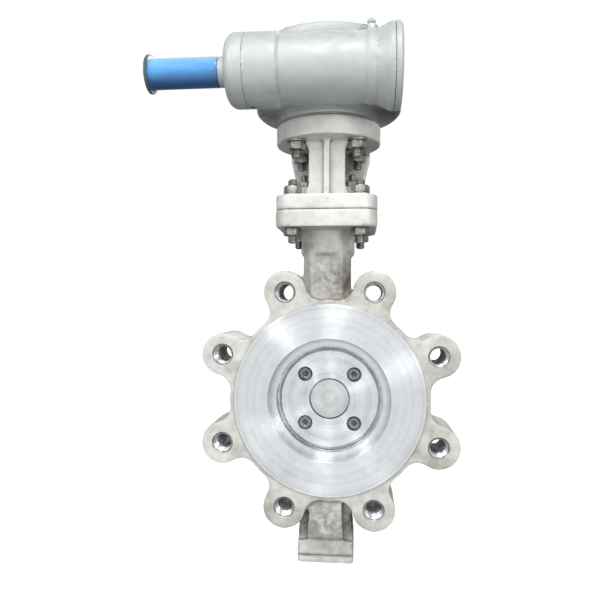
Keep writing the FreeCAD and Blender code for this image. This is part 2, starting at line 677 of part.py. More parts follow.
def worm_shaft():
    """Input shaft and worm in one piece, with the cross hole for a handwheel pin."""
    right_end = BEARING_RIGHT_X + BEARING_W + 3
    shoulder_r = 12.6
    root_r = WORM_PITCH_R - 1.25 * MODULE
    left = BEARING_LEFT_X + BEARING_W
    outline = [(0, INPUT_SHAFT_END), (BEARING_BORE_R - 1, INPUT_SHAFT_END)]
    outline += [(BEARING_BORE_R, INPUT_SHAFT_END + 1), (BEARING_BORE_R, left), (shoulder_r, left)]
    outline += [(shoulder_r, left + 6), (root_r, left + 7), (root_r, BEARING_RIGHT_X - 7)]
    outline += [(shoulder_r, BEARING_RIGHT_X - 6), (shoulder_r, BEARING_RIGHT_X)]
    outline += [(BEARING_BORE_R, BEARING_RIGHT_X), (BEARING_BORE_R, right_end), (0, right_end)]
    shaft = turned("x", outline, ON_WORM).fuse(worm_thread())
    groove = BEARING_RIGHT_X + BEARING_W + FIT
    cuts = [tube("x", 14, CIRCLIP_ROOT_R, groove, groove + CIRCLIP_T + FIT, ON_WORM)]
    cuts.append(rod("y", 3.0, WORM_Y - 20, WORM_Y + 20, (INPUT_SHAFT_END + 14, WORM_Z)))
    return bored(shaft, cuts)


def shaft_circlip():
    """Open retaining ring behind the right bearing."""
    start = BEARING_RIGHT_X + BEARING_W + 2 * FIT
    ring = tube("x", 12.0, CIRCLIP_ROOT_R + FIT, start, start + CIRCLIP_T - FIT, ON_WORM)
    gap = block((start - OVER, start + 3), (WORM_Y - 2.5, WORM_Y + 2.5), (WORM_Z, WORM_Z + 20))
    return ring.cut(gap)


def ball_groove(x):
    """Ring-shaped groove that the balls of one bearing run in."""
    center = place("x", x + BEARING_W / 2, ON_WORM)
    return Part.makeTorus(BALL_CIRCLE_R, BALL_R + BODY_GAP, center, DIRECTIONS["x"])


def bearing_inner_rings():
    """Inner rings of both bearings."""
    rings = []
    for x in (BEARING_LEFT_X, BEARING_RIGHT_X):
        ring = tube("x", 13.6, BEARING_BORE_R + 0.01, x + 0.02, x + BEARING_W - 0.02, ON_WORM)
        rings.append(ring.cut(ball_groove(x)))
    return group(rings)


def bearing_outer_rings():
    """Outer rings of both bearings."""
    rings = []
    for x in (BEARING_LEFT_X, BEARING_RIGHT_X):
        ring = tube("x", BEARING_R - FIT, 17.4, x + 0.02, x + BEARING_W - 0.02, ON_WORM)
        rings.append(ring.cut(ball_groove(x)))
    return group(rings)


def bearing_balls():
    """Balls of both bearings."""
    balls = []
    for x in (BEARING_LEFT_X, BEARING_RIGHT_X):
        for at in ring_places(BALL_COUNT, BALL_CIRCLE_R, ON_WORM):
            balls.append(Part.makeSphere(BALL_R, place("x", x + BEARING_W / 2, at)))
    return group(balls)


def bracket():
    """Open cast bracket between the valve top flange and the gearbox."""
    foot = rounded_plate(TOP_FLANGE_HALF, BRACKET_FOOT_CORNER, FLANGE_TOP, FOOT_TOP)
    head = rod("z", BRACKET_HEAD_R, HEAD_BOTTOM, BRACKET_TOP, ON_STEM)
    front = STEM_Y - FRONT_LEG_FRONT
    leg_half = FRONT_LEG_HALF
    flare = leg_half + FRONT_LEG_FLARE
    outline = [(-flare, FOOT_TOP - OVER), (flare, FOOT_TOP - OVER), (flare, FOOT_TOP + 2)]
    outline += [(leg_half, FOOT_TOP + 10), (leg_half, HEAD_BOTTOM + OVER)]
    outline += [(-leg_half, HEAD_BOTTOM + OVER), (-leg_half, FOOT_TOP + 10), (-flare, FOOT_TOP + 2)]
    corners = [FreeCAD.Vector(STEM_X + x, front, z) for x, z in outline]
    shapes = [foot, head, extruded(corners, FreeCAD.Vector(0, FRONT_LEG_T, 0))]
    rib_y = (front - RIB_PROUD, front + OVER)
    shapes.append(block(about_x(RIB_HALF), rib_y, (FOOT_TOP - OVER, HEAD_BOTTOM + OVER)))
    far = STEM_Y + TOP_FLANGE_HALF
    near = far - REAR_LEG_T
    low, high = REAR_LEG_HALF_FOOT, REAR_LEG_HALF_HEAD
    outline = [(-low, FOOT_TOP - OVER), (low, FOOT_TOP - OVER), (low, FOOT_TOP + 12)]
    outline += [(high, HEAD_BOTTOM - 4), (high, BRACKET_TOP)]
    outline += [(-high, BRACKET_TOP), (-high, HEAD_BOTTOM - 4), (-low, FOOT_TOP + 12)]
    corners = [FreeCAD.Vector(STEM_X + x, near, z) for x, z in outline]
    shapes.append(extruded(corners, FreeCAD.Vector(0, REAR_LEG_T, 0)))
    shapes.append(block(about_x(high), (STEM_Y, near + OVER), (HEAD_BOTTOM, BRACKET_TOP)))
    cuts = [rod("z", BRACKET_FOOT_BORE, FLANGE_TOP - OVER, FOOT_TOP + OVER, ON_STEM)]
    cuts.append(rod("z", BRACKET_HEAD_BORE, HEAD_BOTTOM - OVER, BRACKET_TOP + OVER, ON_STEM))
    cuts.append(rod("z", PILOT_R, BRACKET_TOP - PILOT_DEPTH, BRACKET_TOP + OVER, ON_STEM))
    for at in FOOT_STUDS:
        cuts.append(rod("z", STUD_HOLE_R, FLANGE_TOP - OVER, FOOT_TOP + OVER, at))
    for at in HEAD_STUDS:
        cuts.append(rod("z", STUD_HOLE_R, HEAD_BOTTOM - OVER, BRACKET_TOP + OVER, at))
    return bored(fused(shapes), cuts)


def bracket_studs():
    """Studs through the valve flange and the bracket foot."""
    low = TOP_FLANGE_BOTTOM - NUT_H - 6
    high = FOOT_TOP + WASHER_T + NUT_H + 5.5
    return group([chamfered_rod("z", STUD_R, low, high, 0.8, at) for at in FOOT_STUDS])


def bracket_nuts():
    """Nuts on both ends of the bracket studs."""
    nuts = []
    for at in FOOT_STUDS:
        low = FOOT_TOP + WASHER_T
        nuts.append(hex_nut("z", NUT_FLATS, STUD_R + FIT, low, low + NUT_H, at))
        low = TOP_FLANGE_BOTTOM - NUT_H
        nuts.append(hex_nut("z", NUT_FLATS, STUD_R + FIT, low, TOP_FLANGE_BOTTOM, at))
    return group(nuts)


def bracket_washers():
    """Washers on the bracket foot."""
    high = FOOT_TOP + WASHER_T
    return group([washer("z", WASHER_R, STUD_R + 0.2, FOOT_TOP, high, at) for at in FOOT_STUDS])


def gearbox_studs():
    """Studs from the gearbox foot down through the bracket head."""
    low = HEAD_BOTTOM - WASHER_T - NUT_H - 6.5
    high = GEARBOX_Z + HOUSING_FOOT_T + 2
    return group([chamfered_rod("z", STUD_R, low, high, 0.8, at) for at in HEAD_STUDS])


def gearbox_nuts():
    """Nuts under the bracket head."""
    high = HEAD_BOTTOM - WASHER_T
    return group([hex_nut("z", NUT_FLATS, STUD_R + FIT, high - NUT_H, high, at) for at in HEAD_STUDS])


def gearbox_washers():
    """Washers under the bracket head."""
    low = HEAD_BOTTOM - WASHER_T
    return group([washer("z", WASHER_R, STUD_R + 0.2, low, HEAD_BOTTOM, at) for at in HEAD_STUDS])


def gearbox_flange_gasket():
    """Flat gasket between bracket and gearbox."""
    sheet = tube("z", HOUSING_FOOT_R, PILOT_R + 0.5, BRACKET_TOP, GEARBOX_Z, ON_STEM)
    holes = [rod("z", STUD_HOLE_R, BRACKET_TOP - OVER, GEARBOX_Z + OVER, at) for at in HEAD_STUDS]
    return bored(sheet, holes)


def cover_screw_places():
    """The cover screws, in the middle of the drum wall."""
    return ring_places(COVER_SCREW_COUNT, DRUM_R - DRUM_WALL / 2, ON_STEM)


def end_cover_screw_places():
    """Screws of the right worm cover."""
    return ring_places(4, END_SCREW_AT, ON_WORM, 45)


def stop_places():
    """X and Z of the two travel stops."""
    return [(STEM_X - STOP_X, WORM_Z), (STEM_X + STOP_X, WORM_Z)]


def gearbox_housing():
    """Cast housing: round drum for the wheel and a cross barrel for the worm."""
    shapes = [rod("z", HOUSING_FOOT_R, GEARBOX_Z, GEARBOX_Z + HOUSING_FOOT_T + OVER, ON_STEM)]
    shapes.append(rod("z", PILOT_R - 0.1, GEARBOX_Z - PILOT_DEPTH + 0.4, GEARBOX_Z + OVER, ON_STEM))
    shapes.append(rod("z", DRUM_R, GEARBOX_Z + HOUSING_FOOT_T, DRUM_TOP, ON_STEM))
    shapes.append(rod("x", INPUT_BARREL_R, BARREL_LEFT, BARREL_STEP, ON_WORM))
    shapes.append(rod("x", MAIN_BARREL_R, BARREL_STEP - OVER, BARREL_RIGHT, ON_WORM))
    shapes.append(taper("x", MAIN_BARREL_R, RIM_R, BARREL_FLARE[0], BARREL_FLARE[1], ON_WORM))
    shapes.append(rod("x", RIM_R, BARREL_FLARE[1], BARREL_RIGHT, ON_WORM))
    shapes.append(rod("x", MAIN_BARREL_R + BAND_PROUD, BAND_X - BAND_W / 2, BAND_X + BAND_W / 2, ON_WORM))
    for at in stop_places():
        shapes.append(rod("y", STOP_BOSS_R, STEM_Y + 37, STOP_BOSS_REAR, at))
    worm_right = BEARING_RIGHT_X
    worm_left = BEARING_LEFT_X + BEARING_W
    cuts = [rod("z", DRUM_CAVITY_R, FLOOR_Z, DRUM_TOP + OVER, ON_STEM)]
    cuts.append(rod("z", DRIVE_SLEEVE_R + RUNNING_FIT, GEARBOX_Z - 10, FLOOR_Z + OVER, ON_STEM))
    cuts.append(rod("x", WORM_CHAMBER_R, worm_left - OVER, worm_right + OVER, ON_WORM))
    cuts.append(rod("x", BEARING_R, BARREL_LEFT - OVER, worm_left, ON_WORM))
    cuts.append(rod("x", BEARING_R, worm_right, BARREL_RIGHT + OVER, ON_WORM))
    cuts.append(rod("x", RIM_R + 0.4, BARREL_RIGHT, DRUM_R + OVER, ON_WORM))
    for at in HEAD_STUDS:
        cuts.append(rod("z", STUD_R + FIT, GEARBOX_Z - OVER, GEARBOX_Z + HOUSING_FOOT_T + 3, at))
    for at in cover_screw_places():
        cuts.append(rod("z", SMALL_SCREW_R + FIT, DRUM_TOP - COVER_SCREW_DEPTH - 1, DRUM_TOP + OVER, at))
    for at in end_cover_screw_places():
        bottom = BARREL_RIGHT - END_SCREW_DEPTH - 0.6
        cuts.append(rod("x", SMALL_SCREW_R + FIT, bottom, BARREL_RIGHT + OVER, at))
    lock_low = WORM_Z - INPUT_BARREL_R - OVER
    cuts.append(rod("z", CAP_LOCK_R + FIT, lock_low, WORM_Z - CAP_SPIGOT_R, CAP_LOCK_AT))
    for at in stop_places():
        cuts.append(rod("y", STOP_R + FIT, STEM_Y, STOP_BOSS_REAR + OVER, at))
    cuts.append(rod("z", NIPPLE_R + FIT, WORM_Z + WORM_CHAMBER_R - 3, NIPPLE_SEAT + 9, (BAND_X, NIPPLE_Y)))
    cuts.append(rod("z", DRUM_R + BODY_GAP, DRUM_TOP, COVER_TOP, ON_STEM))
    return bored(fused(shapes), cuts)


def grease_nipple():
    """Grease nipple on the band of the worm barrel."""
    seat = NIPPLE_SEAT
    at = (BAND_X, NIPPLE_Y)
    shank = rod("z", NIPPLE_R, seat - 6, seat + 5, at)
    body = hexagon("z", NIPPLE_FLATS, seat - 0.2, seat + 4.5, at).fuse(shank)
    lower = taper("z", 2.2, 3.2, seat + 4.4, seat + 7.5, at)
    head = lower.fuse(taper("z", 3.2, 1.8, seat + 7.5, seat + 9.5, at))
    barrel = rod("x", MAIN_BARREL_R + BAND_PROUD, BAND_X - 10, BAND_X + 10, ON_WORM)
    skirt = barrel.cut(rod("z", NIPPLE_R, seat - 20, seat + 20, at))
    return fused([body, head]).cut(skirt)


def cover_gasket():
    """Gasket under the gearbox cover."""
    sheet = tube("z", DRUM_R, DRUM_CAVITY_R, DRUM_TOP, COVER_Z, ON_STEM)
    places = cover_screw_places()
    return bored(sheet, [rod("z", SMALL_HOLE_R, DRUM_TOP - OVER, COVER_Z + OVER, at) for at in places])


def gearbox_cover():
    """Round top cover of the gearbox."""
    outline = [(COVER_BORE_R, COVER_Z), (DRUM_R, COVER_Z), (DRUM_R, COVER_TOP - 1.5)]
    outline += [(DRUM_R - 1.5, COVER_TOP), (COVER_BORE_R, COVER_TOP)]
    holes = []
    for at in cover_screw_places():
        holes.append(rod("z", SMALL_HOLE_R, COVER_Z - OVER, COVER_TOP + OVER, at))
        holes.append(rod("z", COVER_COUNTERBORE_R, COVER_TOP - COVER_HEAD_H - 0.2, COVER_TOP + OVER, at))
    return bored(turned("z", outline, ON_STEM), holes)


def cover_screws():
    """Socket-head screws of the gearbox cover."""
    top = COVER_TOP - 0.2
    tip = DRUM_TOP - COVER_SCREW_DEPTH
    screws = []
    for at in cover_screw_places():
        screws.append(socket_screw("z", SMALL_SCREW_R, SMALL_HEAD_R, COVER_HEAD_H, top, tip, at))
    return group(screws)


def indicator_plate():
    """Flat ring under the pointer."""
    bore = COVER_BORE_R + 0.4
    high = COVER_TOP + DIAL_T
    outline = [(bore, COVER_TOP), (DIAL_R, COVER_TOP), (DIAL_R, high - 0.3)]
    outline += [(DIAL_R - 0.4, high), (bore, high)]
    return turned("z", outline, ON_STEM)


def pointer():
    """Domed position pointer with one raised arm."""
    low = POINTER_Z
    high = low + POINTER_H
    outline = [(0, low), (POINTER_R, low), (POINTER_R, low + 5), (POINTER_R - 2.5, high - 1.4)]
    outline += [(POINTER_R - 7, high), (0, high)]
    arm = block(about_x(POINTER_ARM_HALF), (STEM_Y - POINTER_REACH, STEM_Y), (low, low + POINTER_ARM_T))
    cap = fused([turned("z", outline, ON_STEM), arm])
    cuts = [rod("z", DRIVE_SPIGOT_R - 4 + FIT, low - OVER, low + 2, ON_STEM)]
    cuts.append(rod("z", 2.7, low - OVER, low + 20, ON_STEM))
    cuts.append(rod("z", 4.6, low + 6, low + 20, ON_STEM))
    return bored(cap, cuts)


def pointer_screw():
    """Screw that holds the pointer on the drive sleeve."""
    return socket_screw("z", SMALL_SCREW_R, SMALL_HEAD_R, 3, POINTER_Z + 9, COVER_TOP - 10, ON_STEM)


def pointer_spacer():
    """Small collar between drive sleeve and pointer."""
    low = COVER_TOP - 0.5
    return tube("z", DRIVE_SPIGOT_R - 4, 2.7, low, POINTER_Z + 2, ON_STEM)


def input_end_cap():
    """Left end cap with the seal bore and the shaft nose; its spigot's thread is left plain."""
    outer = CAP_OUTER
    inner = CAP_INNER
    outline = [(BEARING_BORE_R + BODY_GAP, CAP_NOSE_END), (CAP_NOSE_R, CAP_NOSE_END), (CAP_NOSE_R, outer)]
    steps = 6
    for i in range(steps + 1):
        angle = math.pi / 2 * i / steps
        radius = INPUT_BARREL_R - END_CAP_ROUND + END_CAP_ROUND * math.sin(angle)
        outline.append((radius, outer + END_CAP_ROUND * (1 - math.cos(angle))))
    outline += [(INPUT_BARREL_R, inner), (CAP_SPIGOT_R, inner), (CAP_SPIGOT_R, BEARING_LEFT_X)]
    outline += [(SEAL_POCKET_R, BEARING_LEFT_X), (SEAL_POCKET_R, inner - SEAL_W)]
    outline += [(BEARING_BORE_R + BODY_GAP, inner - SEAL_W)]
    low = WORM_Z - INPUT_BARREL_R
    return turned("x", outline, ON_WORM).cut(rod("z", CAP_LOCK_R + FIT, low, CAP_LOCK_TIP + FIT, CAP_LOCK_AT))


def input_cap_gasket():
    """Gasket of the left end cap."""
    return tube("x", INPUT_BARREL_R, BEARING_R, CAP_INNER, BARREL_LEFT, ON_WORM)


def input_cap_lock_screw():
    """Set screw from below that keeps the end cap from unscrewing."""
    low = WORM_Z - INPUT_BARREL_R + 0.5
    screw = chamfered_rod("z", CAP_LOCK_R, low, CAP_LOCK_TIP, 0.4, CAP_LOCK_AT)
    return screw.cut(hexagon("z", CAP_LOCK_KEY, low - OVER, low + 2, CAP_LOCK_AT))


def input_seal():
    """Shaft lip seal in the left end cap."""
    inner = CAP_INNER
    start = inner - SEAL_W
    lip = BEARING_BORE_R + BODY_GAP
    rim = SEAL_POCKET_R - FIT
    outline = [(lip + 2, start), (rim, start), (rim, inner), (rim - 1.5, inner), (rim - 1.5, start + 2)]
    outline += [(lip + 2.5, start + 2), (lip + 1.5, inner - 1), (lip, inner - 2)]
    return turned("x", outline, ON_WORM)


def worm_end_cover():
    """Right cover of the worm barrel."""
    start = END_COVER_X
    end = start + END_COVER_T
    spigot_end = BEARING_RIGHT_X + BEARING_W
    spigot_r = BEARING_R - 0.1
    outline = [(0, start), (SPIGOT_BORE_R, start), (SPIGOT_BORE_R, spigot_end), (spigot_r, spigot_end)]
    outline += [(spigot_r, start), (RIM_R, start), (RIM_R, end - 1.5), (RIM_R - 1.5, end), (0, end)]
    holes = []
    for at in end_cover_screw_places():
        holes.append(rod("x", SMALL_HOLE_R, start - OVER, end + OVER, at))
        holes.append(taper("x", SMALL_HOLE_R, END_SCREW_HEAD_R + 0.1, end - END_SCREW_HEAD_H, end + 0.01, at))
    return bored(turned("x", outline, ON_WORM), holes)


def worm_end_gasket():
    """Gasket of the right worm cover."""
    sheet = tube("x", RIM_R, BEARING_R, BARREL_RIGHT, END_COVER_X, ON_WORM)
    places = end_cover_screw_places()
    return bored(sheet, [rod("x", SMALL_HOLE_R, BARREL_RIGHT - 2, BARREL_RIGHT + 2, at) for at in places])


def worm_end_screws():
    """Countersunk screws of the right worm cover, short enough to stay inside the rim."""
    face = END_COVER_X + END_COVER_T
    screws = []
    for at in end_cover_screw_places():
        neck = face - END_SCREW_HEAD_H
        shank = rod("x", SMALL_SCREW_R, BARREL_RIGHT - END_SCREW_DEPTH, neck + 0.1, at)
        head = taper("x", SMALL_SCREW_R, END_SCREW_HEAD_R, neck, face - 0.1, at)
        socket = hexagon("x", END_SCREW_KEY, face - 1.5, face + OVER, at)
        screws.append(shank.fuse(head).removeSplitter().cut(socket))
    return group(screws)


def stop_screws():
    """Travel stop screws, meeting the sector's straight ends."""
    screws = []
    for at in stop_places():
        screw = chamfered_rod("y", STOP_R, STEM_Y + SECTOR_OFFSET + BODY_GAP, STOP_TAIL, 1.0, at)
        screws.append(screw.cut(hexagon("y", 5, STOP_TAIL - 5, STOP_TAIL + OVER, at)))
    return group(screws)


def stop_locknuts():
    """Locknuts of the stop screws."""
    places = stop_places()
    low = STOP_BOSS_REAR
    return group([hex_nut("y", STOP_NUT_FLATS, STOP_R + FIT, low, low + STOP_NUT_H, at) for at in places])


def shaft_sleeve():
    """Push-on plastic sleeve with a closed, rimmed outer end."""
    inner_end = CAP_NOSE_END - BODY_GAP
    bore = BEARING_BORE_R + RUNNING_FIT
    rim = SLEEVE_OUTER_END + SLEEVE_RIM_T
    outline = [(0, SLEEVE_OUTER_END), (SLEEVE_RIM_R - 0.8, SLEEVE_OUTER_END)]
    outline += [(SLEEVE_RIM_R, SLEEVE_OUTER_END + 0.8), (SLEEVE_RIM_R, rim - 0.4), (SLEEVE_RIM_R - 0.4, rim)]
    outline += [(SLEEVE_R, rim), (SLEEVE_R, inner_end - 0.3), (SLEEVE_R - 0.3, inner_end)]
    outline += [(bore, inner_end), (bore, rim), (0, rim)]
    return turned("x", outline, ON_WORM)


def bushing(bottom, top):
    """Plain stem bushing."""
    return tube("z", BUSH_R - FIT, STEM_R + RUNNING_FIT, bottom, top, ON_STEM)


def packing_washer():
    """Seat washer under the packing."""
    high = PACKING_BOTTOM + PACKING_WASHER_T
    return tube("z", PACKING_R - FIT, STEM_R + RUNNING_FIT, PACKING_BOTTOM, high, ON_STEM)


def packing_rings():
    """Graphite packing rings."""
    rings = []
    for i in range(PACKING_RING_COUNT):
        low = PACKING_BOTTOM + PACKING_WASHER_T + i * PACKING_RING_H
        rings.append(tube("z", PACKING_R - FIT, STEM_R + RUNNING_FIT, low, low + PACKING_RING_H, ON_STEM))
    return group(rings)


def gland_bushing():
    """Gland follower with a collar that the gland flange presses on."""
    bore = STEM_R + RUNNING_FIT
    step = GLAND_FLANGE_Z - 3
    outer = PACKING_R - 0.05
    outline = [(bore, PACKING_TOP), (outer, PACKING_TOP), (outer, step)]
    outline += [(outer - 1, step + 1), (outer - 1, GLAND_FLANGE_Z), (bore, GLAND_FLANGE_Z)]
    return turned("z", outline, ON_STEM)


def gland_flange():
    """Oval plate that loads the gland bushing."""
    low = GLAND_FLANGE_Z
    high = low + GLAND_FLANGE_T
    ends = [rod("z", GLAND_END_R, low, high, at) for at in GLAND_STUDS]
    middle = rod("z", PACKING_R - 0.5, low, high, ON_STEM)
    bar = block(about_x(GLAND_STUD_AT), about_y(GLAND_END_R), (low, high))
    cuts = [rod("z", STEM_R + 0.5, low - OVER, high + OVER, ON_STEM)]
    cuts += [rod("z", GLAND_STUD_R + 0.3, low - OVER, high + OVER, at) for at in GLAND_STUDS]
    return bored(fused([middle, bar] + ends), cuts)


def gland_studs():
    """Studs that pull the gland flange down."""
    low = FLANGE_TOP - GLAND_STUD_DEPTH
    return group([chamfered_rod("z", GLAND_STUD_R, low, GLAND_STUD_TOP, 0.6, at) for at in GLAND_STUDS])


def gland_nuts():
    """Nuts on the gland studs."""
    low = GLAND_FLANGE_Z + GLAND_FLANGE_T
    bore = GLAND_STUD_R + FIT
    return group([hex_nut("z", GLAND_NUT_FLATS, bore, low, low + GLAND_NUT_H, at) for at in GLAND_STUDS])


def thrust_disc():
    """Thrust disc under the stem end."""
    high = STEM_BOTTOM - BODY_GAP
    return rod("z", BUSH_R - 0.2, high - THRUST_DISC_T, high, ON_STEM)


def bottom_cover():
    """Flush lower cover whose spigot carries the thrust disc."""
    face = BOTTOM_FACE
    low = face - BOTTOM_COVER_T
    plate = rounded_plate(TRUNNION_HALF, TRUNNION_CORNER, low, face)
    spigot = rod("z", BUSH_R - 0.1, face - OVER, STEM_BOTTOM - BODY_GAP - THRUST_DISC_T, ON_STEM)
    holes = []
    for at in BOTTOM_SCREWS:
        holes.append(rod("z", SMALL_HOLE_R, low - OVER, face + OVER, at))
        holes.append(taper("z", 5.1, 2.6, low - 0.1, low + 2.6, at))
    return bored(fused([plate, spigot]), holes)


def bottom_cover_gasket():
    """Gasket above the bottom cover."""
    sheet = rounded_plate(TRUNNION_HALF, TRUNNION_CORNER, BOTTOM_FACE, -TRUNNION_BOTTOM)
    low = BOTTOM_FACE - OVER
    high = OVER - TRUNNION_BOTTOM
    holes = [rod("z", BUSH_R, low, high, ON_STEM)]
    holes += [rod("z", SMALL_HOLE_R, low, high, at) for at in BOTTOM_SCREWS]
    return bored(sheet, holes)


def bottom_cover_screws():
    """Countersunk screws of the bottom cover."""
    low = BOTTOM_FACE - BOTTOM_COVER_T
    screws = []
    for at in BOTTOM_SCREWS:
        head = taper("z", 4.9, SMALL_SCREW_R, low, low + 2.4, at)
        shank = rod("z", SMALL_SCREW_R, low + 2.3, 9 - TRUNNION_BOTTOM, at)
        screw = head.fuse(shank).removeSplitter()
        screws.append(screw.cut(hexagon("z", 3, low - OVER, low + 1.8, at)))
    return group(screws)


def taper_pins():
    """Pins that lock the disc to the stem."""
    places = [(STEM_X, side * PIN_Z) for side in (-1, 1)]
    rear = STEM_Y + DISC_HUB_R + 0.6
    return group([chamfered_rod("y", PIN_R, PIN_FRONT + 0.1, rear, 0.5, at) for at in places])


def all_parts():
    """Every sub-part by name."""
    steel = [seal_layer(i) for i in range(0, SEAL_LAYERS, 2)]
    graphite = [seal_layer(i) for i in range(1, SEAL_LAYERS, 2)]
    return {
        "valve_body": valve_body(),
        "seat_ring": seat_ring(),
        "lower_bushing": bushing(STEM_BOTTOM + 2, -REAR_BORE_R),
        "upper_bushing": bushing(REAR_BORE_R, PACKING_BOTTOM),
        "thrust_disc": thrust_disc(),
        "bottom_cover_gasket": bottom_cover_gasket(),
        "bottom_cover": bottom_cover(),
        "bottom_cover_screws": bottom_cover_screws(),
        "packing_washer": packing_washer(),
        "packing_rings": packing_rings(),
        "gland_bushing": gland_bushing(),
        "gland_flange": gland_flange(),
        "gland_studs": gland_studs(),
        "gland_nuts": gland_nuts(),
        "bracket": bracket(),
        "bracket_studs": bracket_studs(),
        "bracket_nuts": bracket_nuts(),
        "bracket_washers": bracket_washers(),
        "gearbox_studs": gearbox_studs(),
        "gearbox_nuts": gearbox_nuts(),
        "gearbox_washers": gearbox_washers(),
        "gearbox_flange_gasket": gearbox_flange_gasket(),
        "gearbox_housing": gearbox_housing(),
        "grease_nipple": grease_nipple(),
        "cover_gasket": cover_gasket(),
        "gearbox_cover": gearbox_cover(),
        "cover_screws": cover_screws(),
        "indicator_plate": indicator_plate(),
        "input_end_cap": input_end_cap(),
        "input_cap_gasket": input_cap_gasket(),
        "input_cap_lock_screw": input_cap_lock_screw(),
        "input_seal": input_seal(),
        "worm_end_cover": worm_end_cover(),
        "worm_end_gasket": worm_end_gasket(),
        "worm_end_screws": worm_end_screws(),
        "bearing_outer_rings": bearing_outer_rings(),
        "bearing_balls": bearing_balls(),
        "stop_screws": stop_screws(),
        "stop_locknuts": stop_locknuts(),
        "stem": stem(),
        "disc": disc(),
        "seal_steel_layers": group(steel),
        "seal_graphite_layers": group(graphite),
        "retaining_plate": retaining_plate(),
        "retaining_screws": retaining_screws(),
        "taper_pins": taper_pins(),
        "stem_key": stem_key_block(0.0),
        "wheel_key": wheel_key_block(0.0),
        "drive_sleeve": drive_sleeve(),
        "worm_wheel": worm_wheel(),
        "pointer": pointer(),
        "pointer_spacer": pointer_spacer(),
        "pointer_screw": pointer_screw(),
        "worm_shaft": worm_shaft(),
        "shaft_circlip": shaft_circlip(),
        "bearing_inner_rings": bearing_inner_rings(),
        "shaft_sleeve": shaft_sleeve(),
    }


os.makedirs("parts", exist_ok=True)
for name, shape in all_parts().items():
    shape.exportStep("parts/" + name + ".step")
    sound = "valid" if shape.isValid() else "NOT VALID"
    print(name, len(shape.Solids), round(shape.Volume), sound)
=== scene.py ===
"""Looks of a lug butterfly valve with a worm gearbox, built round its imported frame.

Lengths inside the classes are millimetres. Every piece is scaled to metres as it is finished.
"""
import json
import logging
import math
from collections.abc import Callable, Sequence
from dataclasses import dataclass, field
from enum import Enum

import bmesh
import bpy
from mathutils import Matrix, Vector, noise


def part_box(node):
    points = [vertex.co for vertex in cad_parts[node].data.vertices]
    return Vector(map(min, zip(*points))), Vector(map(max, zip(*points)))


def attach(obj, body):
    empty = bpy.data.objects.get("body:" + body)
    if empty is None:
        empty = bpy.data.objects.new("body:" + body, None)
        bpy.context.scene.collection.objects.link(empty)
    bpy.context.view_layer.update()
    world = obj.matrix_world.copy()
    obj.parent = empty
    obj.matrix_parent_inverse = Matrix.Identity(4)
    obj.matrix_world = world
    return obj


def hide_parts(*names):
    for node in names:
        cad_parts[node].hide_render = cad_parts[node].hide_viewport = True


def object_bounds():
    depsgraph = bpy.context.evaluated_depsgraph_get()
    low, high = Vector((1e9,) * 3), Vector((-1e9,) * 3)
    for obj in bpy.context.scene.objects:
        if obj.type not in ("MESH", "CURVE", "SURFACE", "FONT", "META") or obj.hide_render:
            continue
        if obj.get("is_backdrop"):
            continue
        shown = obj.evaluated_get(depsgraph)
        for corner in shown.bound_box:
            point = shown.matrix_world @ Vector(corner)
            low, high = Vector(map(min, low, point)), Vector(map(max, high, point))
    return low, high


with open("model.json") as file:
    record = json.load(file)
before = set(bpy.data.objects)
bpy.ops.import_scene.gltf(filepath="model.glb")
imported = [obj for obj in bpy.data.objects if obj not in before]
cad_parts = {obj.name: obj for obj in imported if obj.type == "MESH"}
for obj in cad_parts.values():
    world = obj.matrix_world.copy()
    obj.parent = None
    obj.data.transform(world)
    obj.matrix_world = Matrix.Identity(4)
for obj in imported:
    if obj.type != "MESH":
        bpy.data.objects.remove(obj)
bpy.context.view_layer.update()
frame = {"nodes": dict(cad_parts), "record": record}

log = logging.getLogger("valve")

MM = 0.001
PAST = 5.0  # how far a cutting tool runs past the metal, in millimetres
SPANS = ("From Min", "From Max", "To Min", "To Max")
BODY = "valve"
TURNING = "stem"
SLEEVE = "shaft_sleeve"

Point = tuple[float, float]
Outline = list[Point]
Colour = tuple[float, float, float, float]
Socket = bpy.types.NodeSocket
Material = bpy.types.Material
Object = bpy.types.Object


class Axis(Enum):
    """The axis a piece is turned or pushed out along."""

    X = "x"
    Y = "y"
    Z = "z"

    def matrix(self) -> Matrix:
        """Maps local X, Y and Z to the two other axes in order and to this one.

        Returns:
            The turning matrix.
        """
        rows = {
            Axis.X: ((0, 0, 1, 0), (1, 0, 0, 0), (0, 1, 0, 0), (0, 0, 0, 1)),
            Axis.Y: ((1, 0, 0, 0), (0, 0, 1, 0), (0, 1, 0, 0), (0, 0, 0, 1)),
            Axis.Z: ((1, 0, 0, 0), (0, 1, 0, 0), (0, 0, 1, 0), (0, 0, 0, 1)),
        }
        return Matrix(rows[self])


def tint(code: str) -> Colour:
    """Linear colour from a hexadecimal display colour.

    Args:
        code: six hexadecimal digits, such as "b0e4f8".

    Returns:
        Linear red, green, blue and an alpha of one.
    """
    parts = [int(code[i:i + 2], 16) / 255 for i in (0, 2, 4)]
    linear = [p / 12.92 if p <= 0.04045 else ((p + 0.055) / 1.055) ** 2.4 for p in parts]
    return (linear[0], linear[1], linear[2], 1.0)


def node_box(node: str) -> tuple[Vector, Vector]:
    """Lowest and highest corner of a frame node, in millimetres."""
    low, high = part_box(node)
    return low / MM, high / MM


def centre(node: str) -> Vector:
    """Middle of a frame node's box, in millimetres."""
    low, high = node_box(node)
    return (low + high) / 2


def half_size(node: str, axis: str = "x") -> float:
    """Half of a frame node's size along an axis, in millimetres."""
    low, high = node_box(node)
    return (getattr(high, axis) - getattr(low, axis)) / 2


def mount(name: str) -> Vector:
    """Place of one of the record's mounts, in millimetres."""
    spot = next(m for m in frame["record"]["mounts"] if m["name"] == name)["pos_m"]
    return Vector(spot) / MM


# ---------------------------------------------------------------- finishes


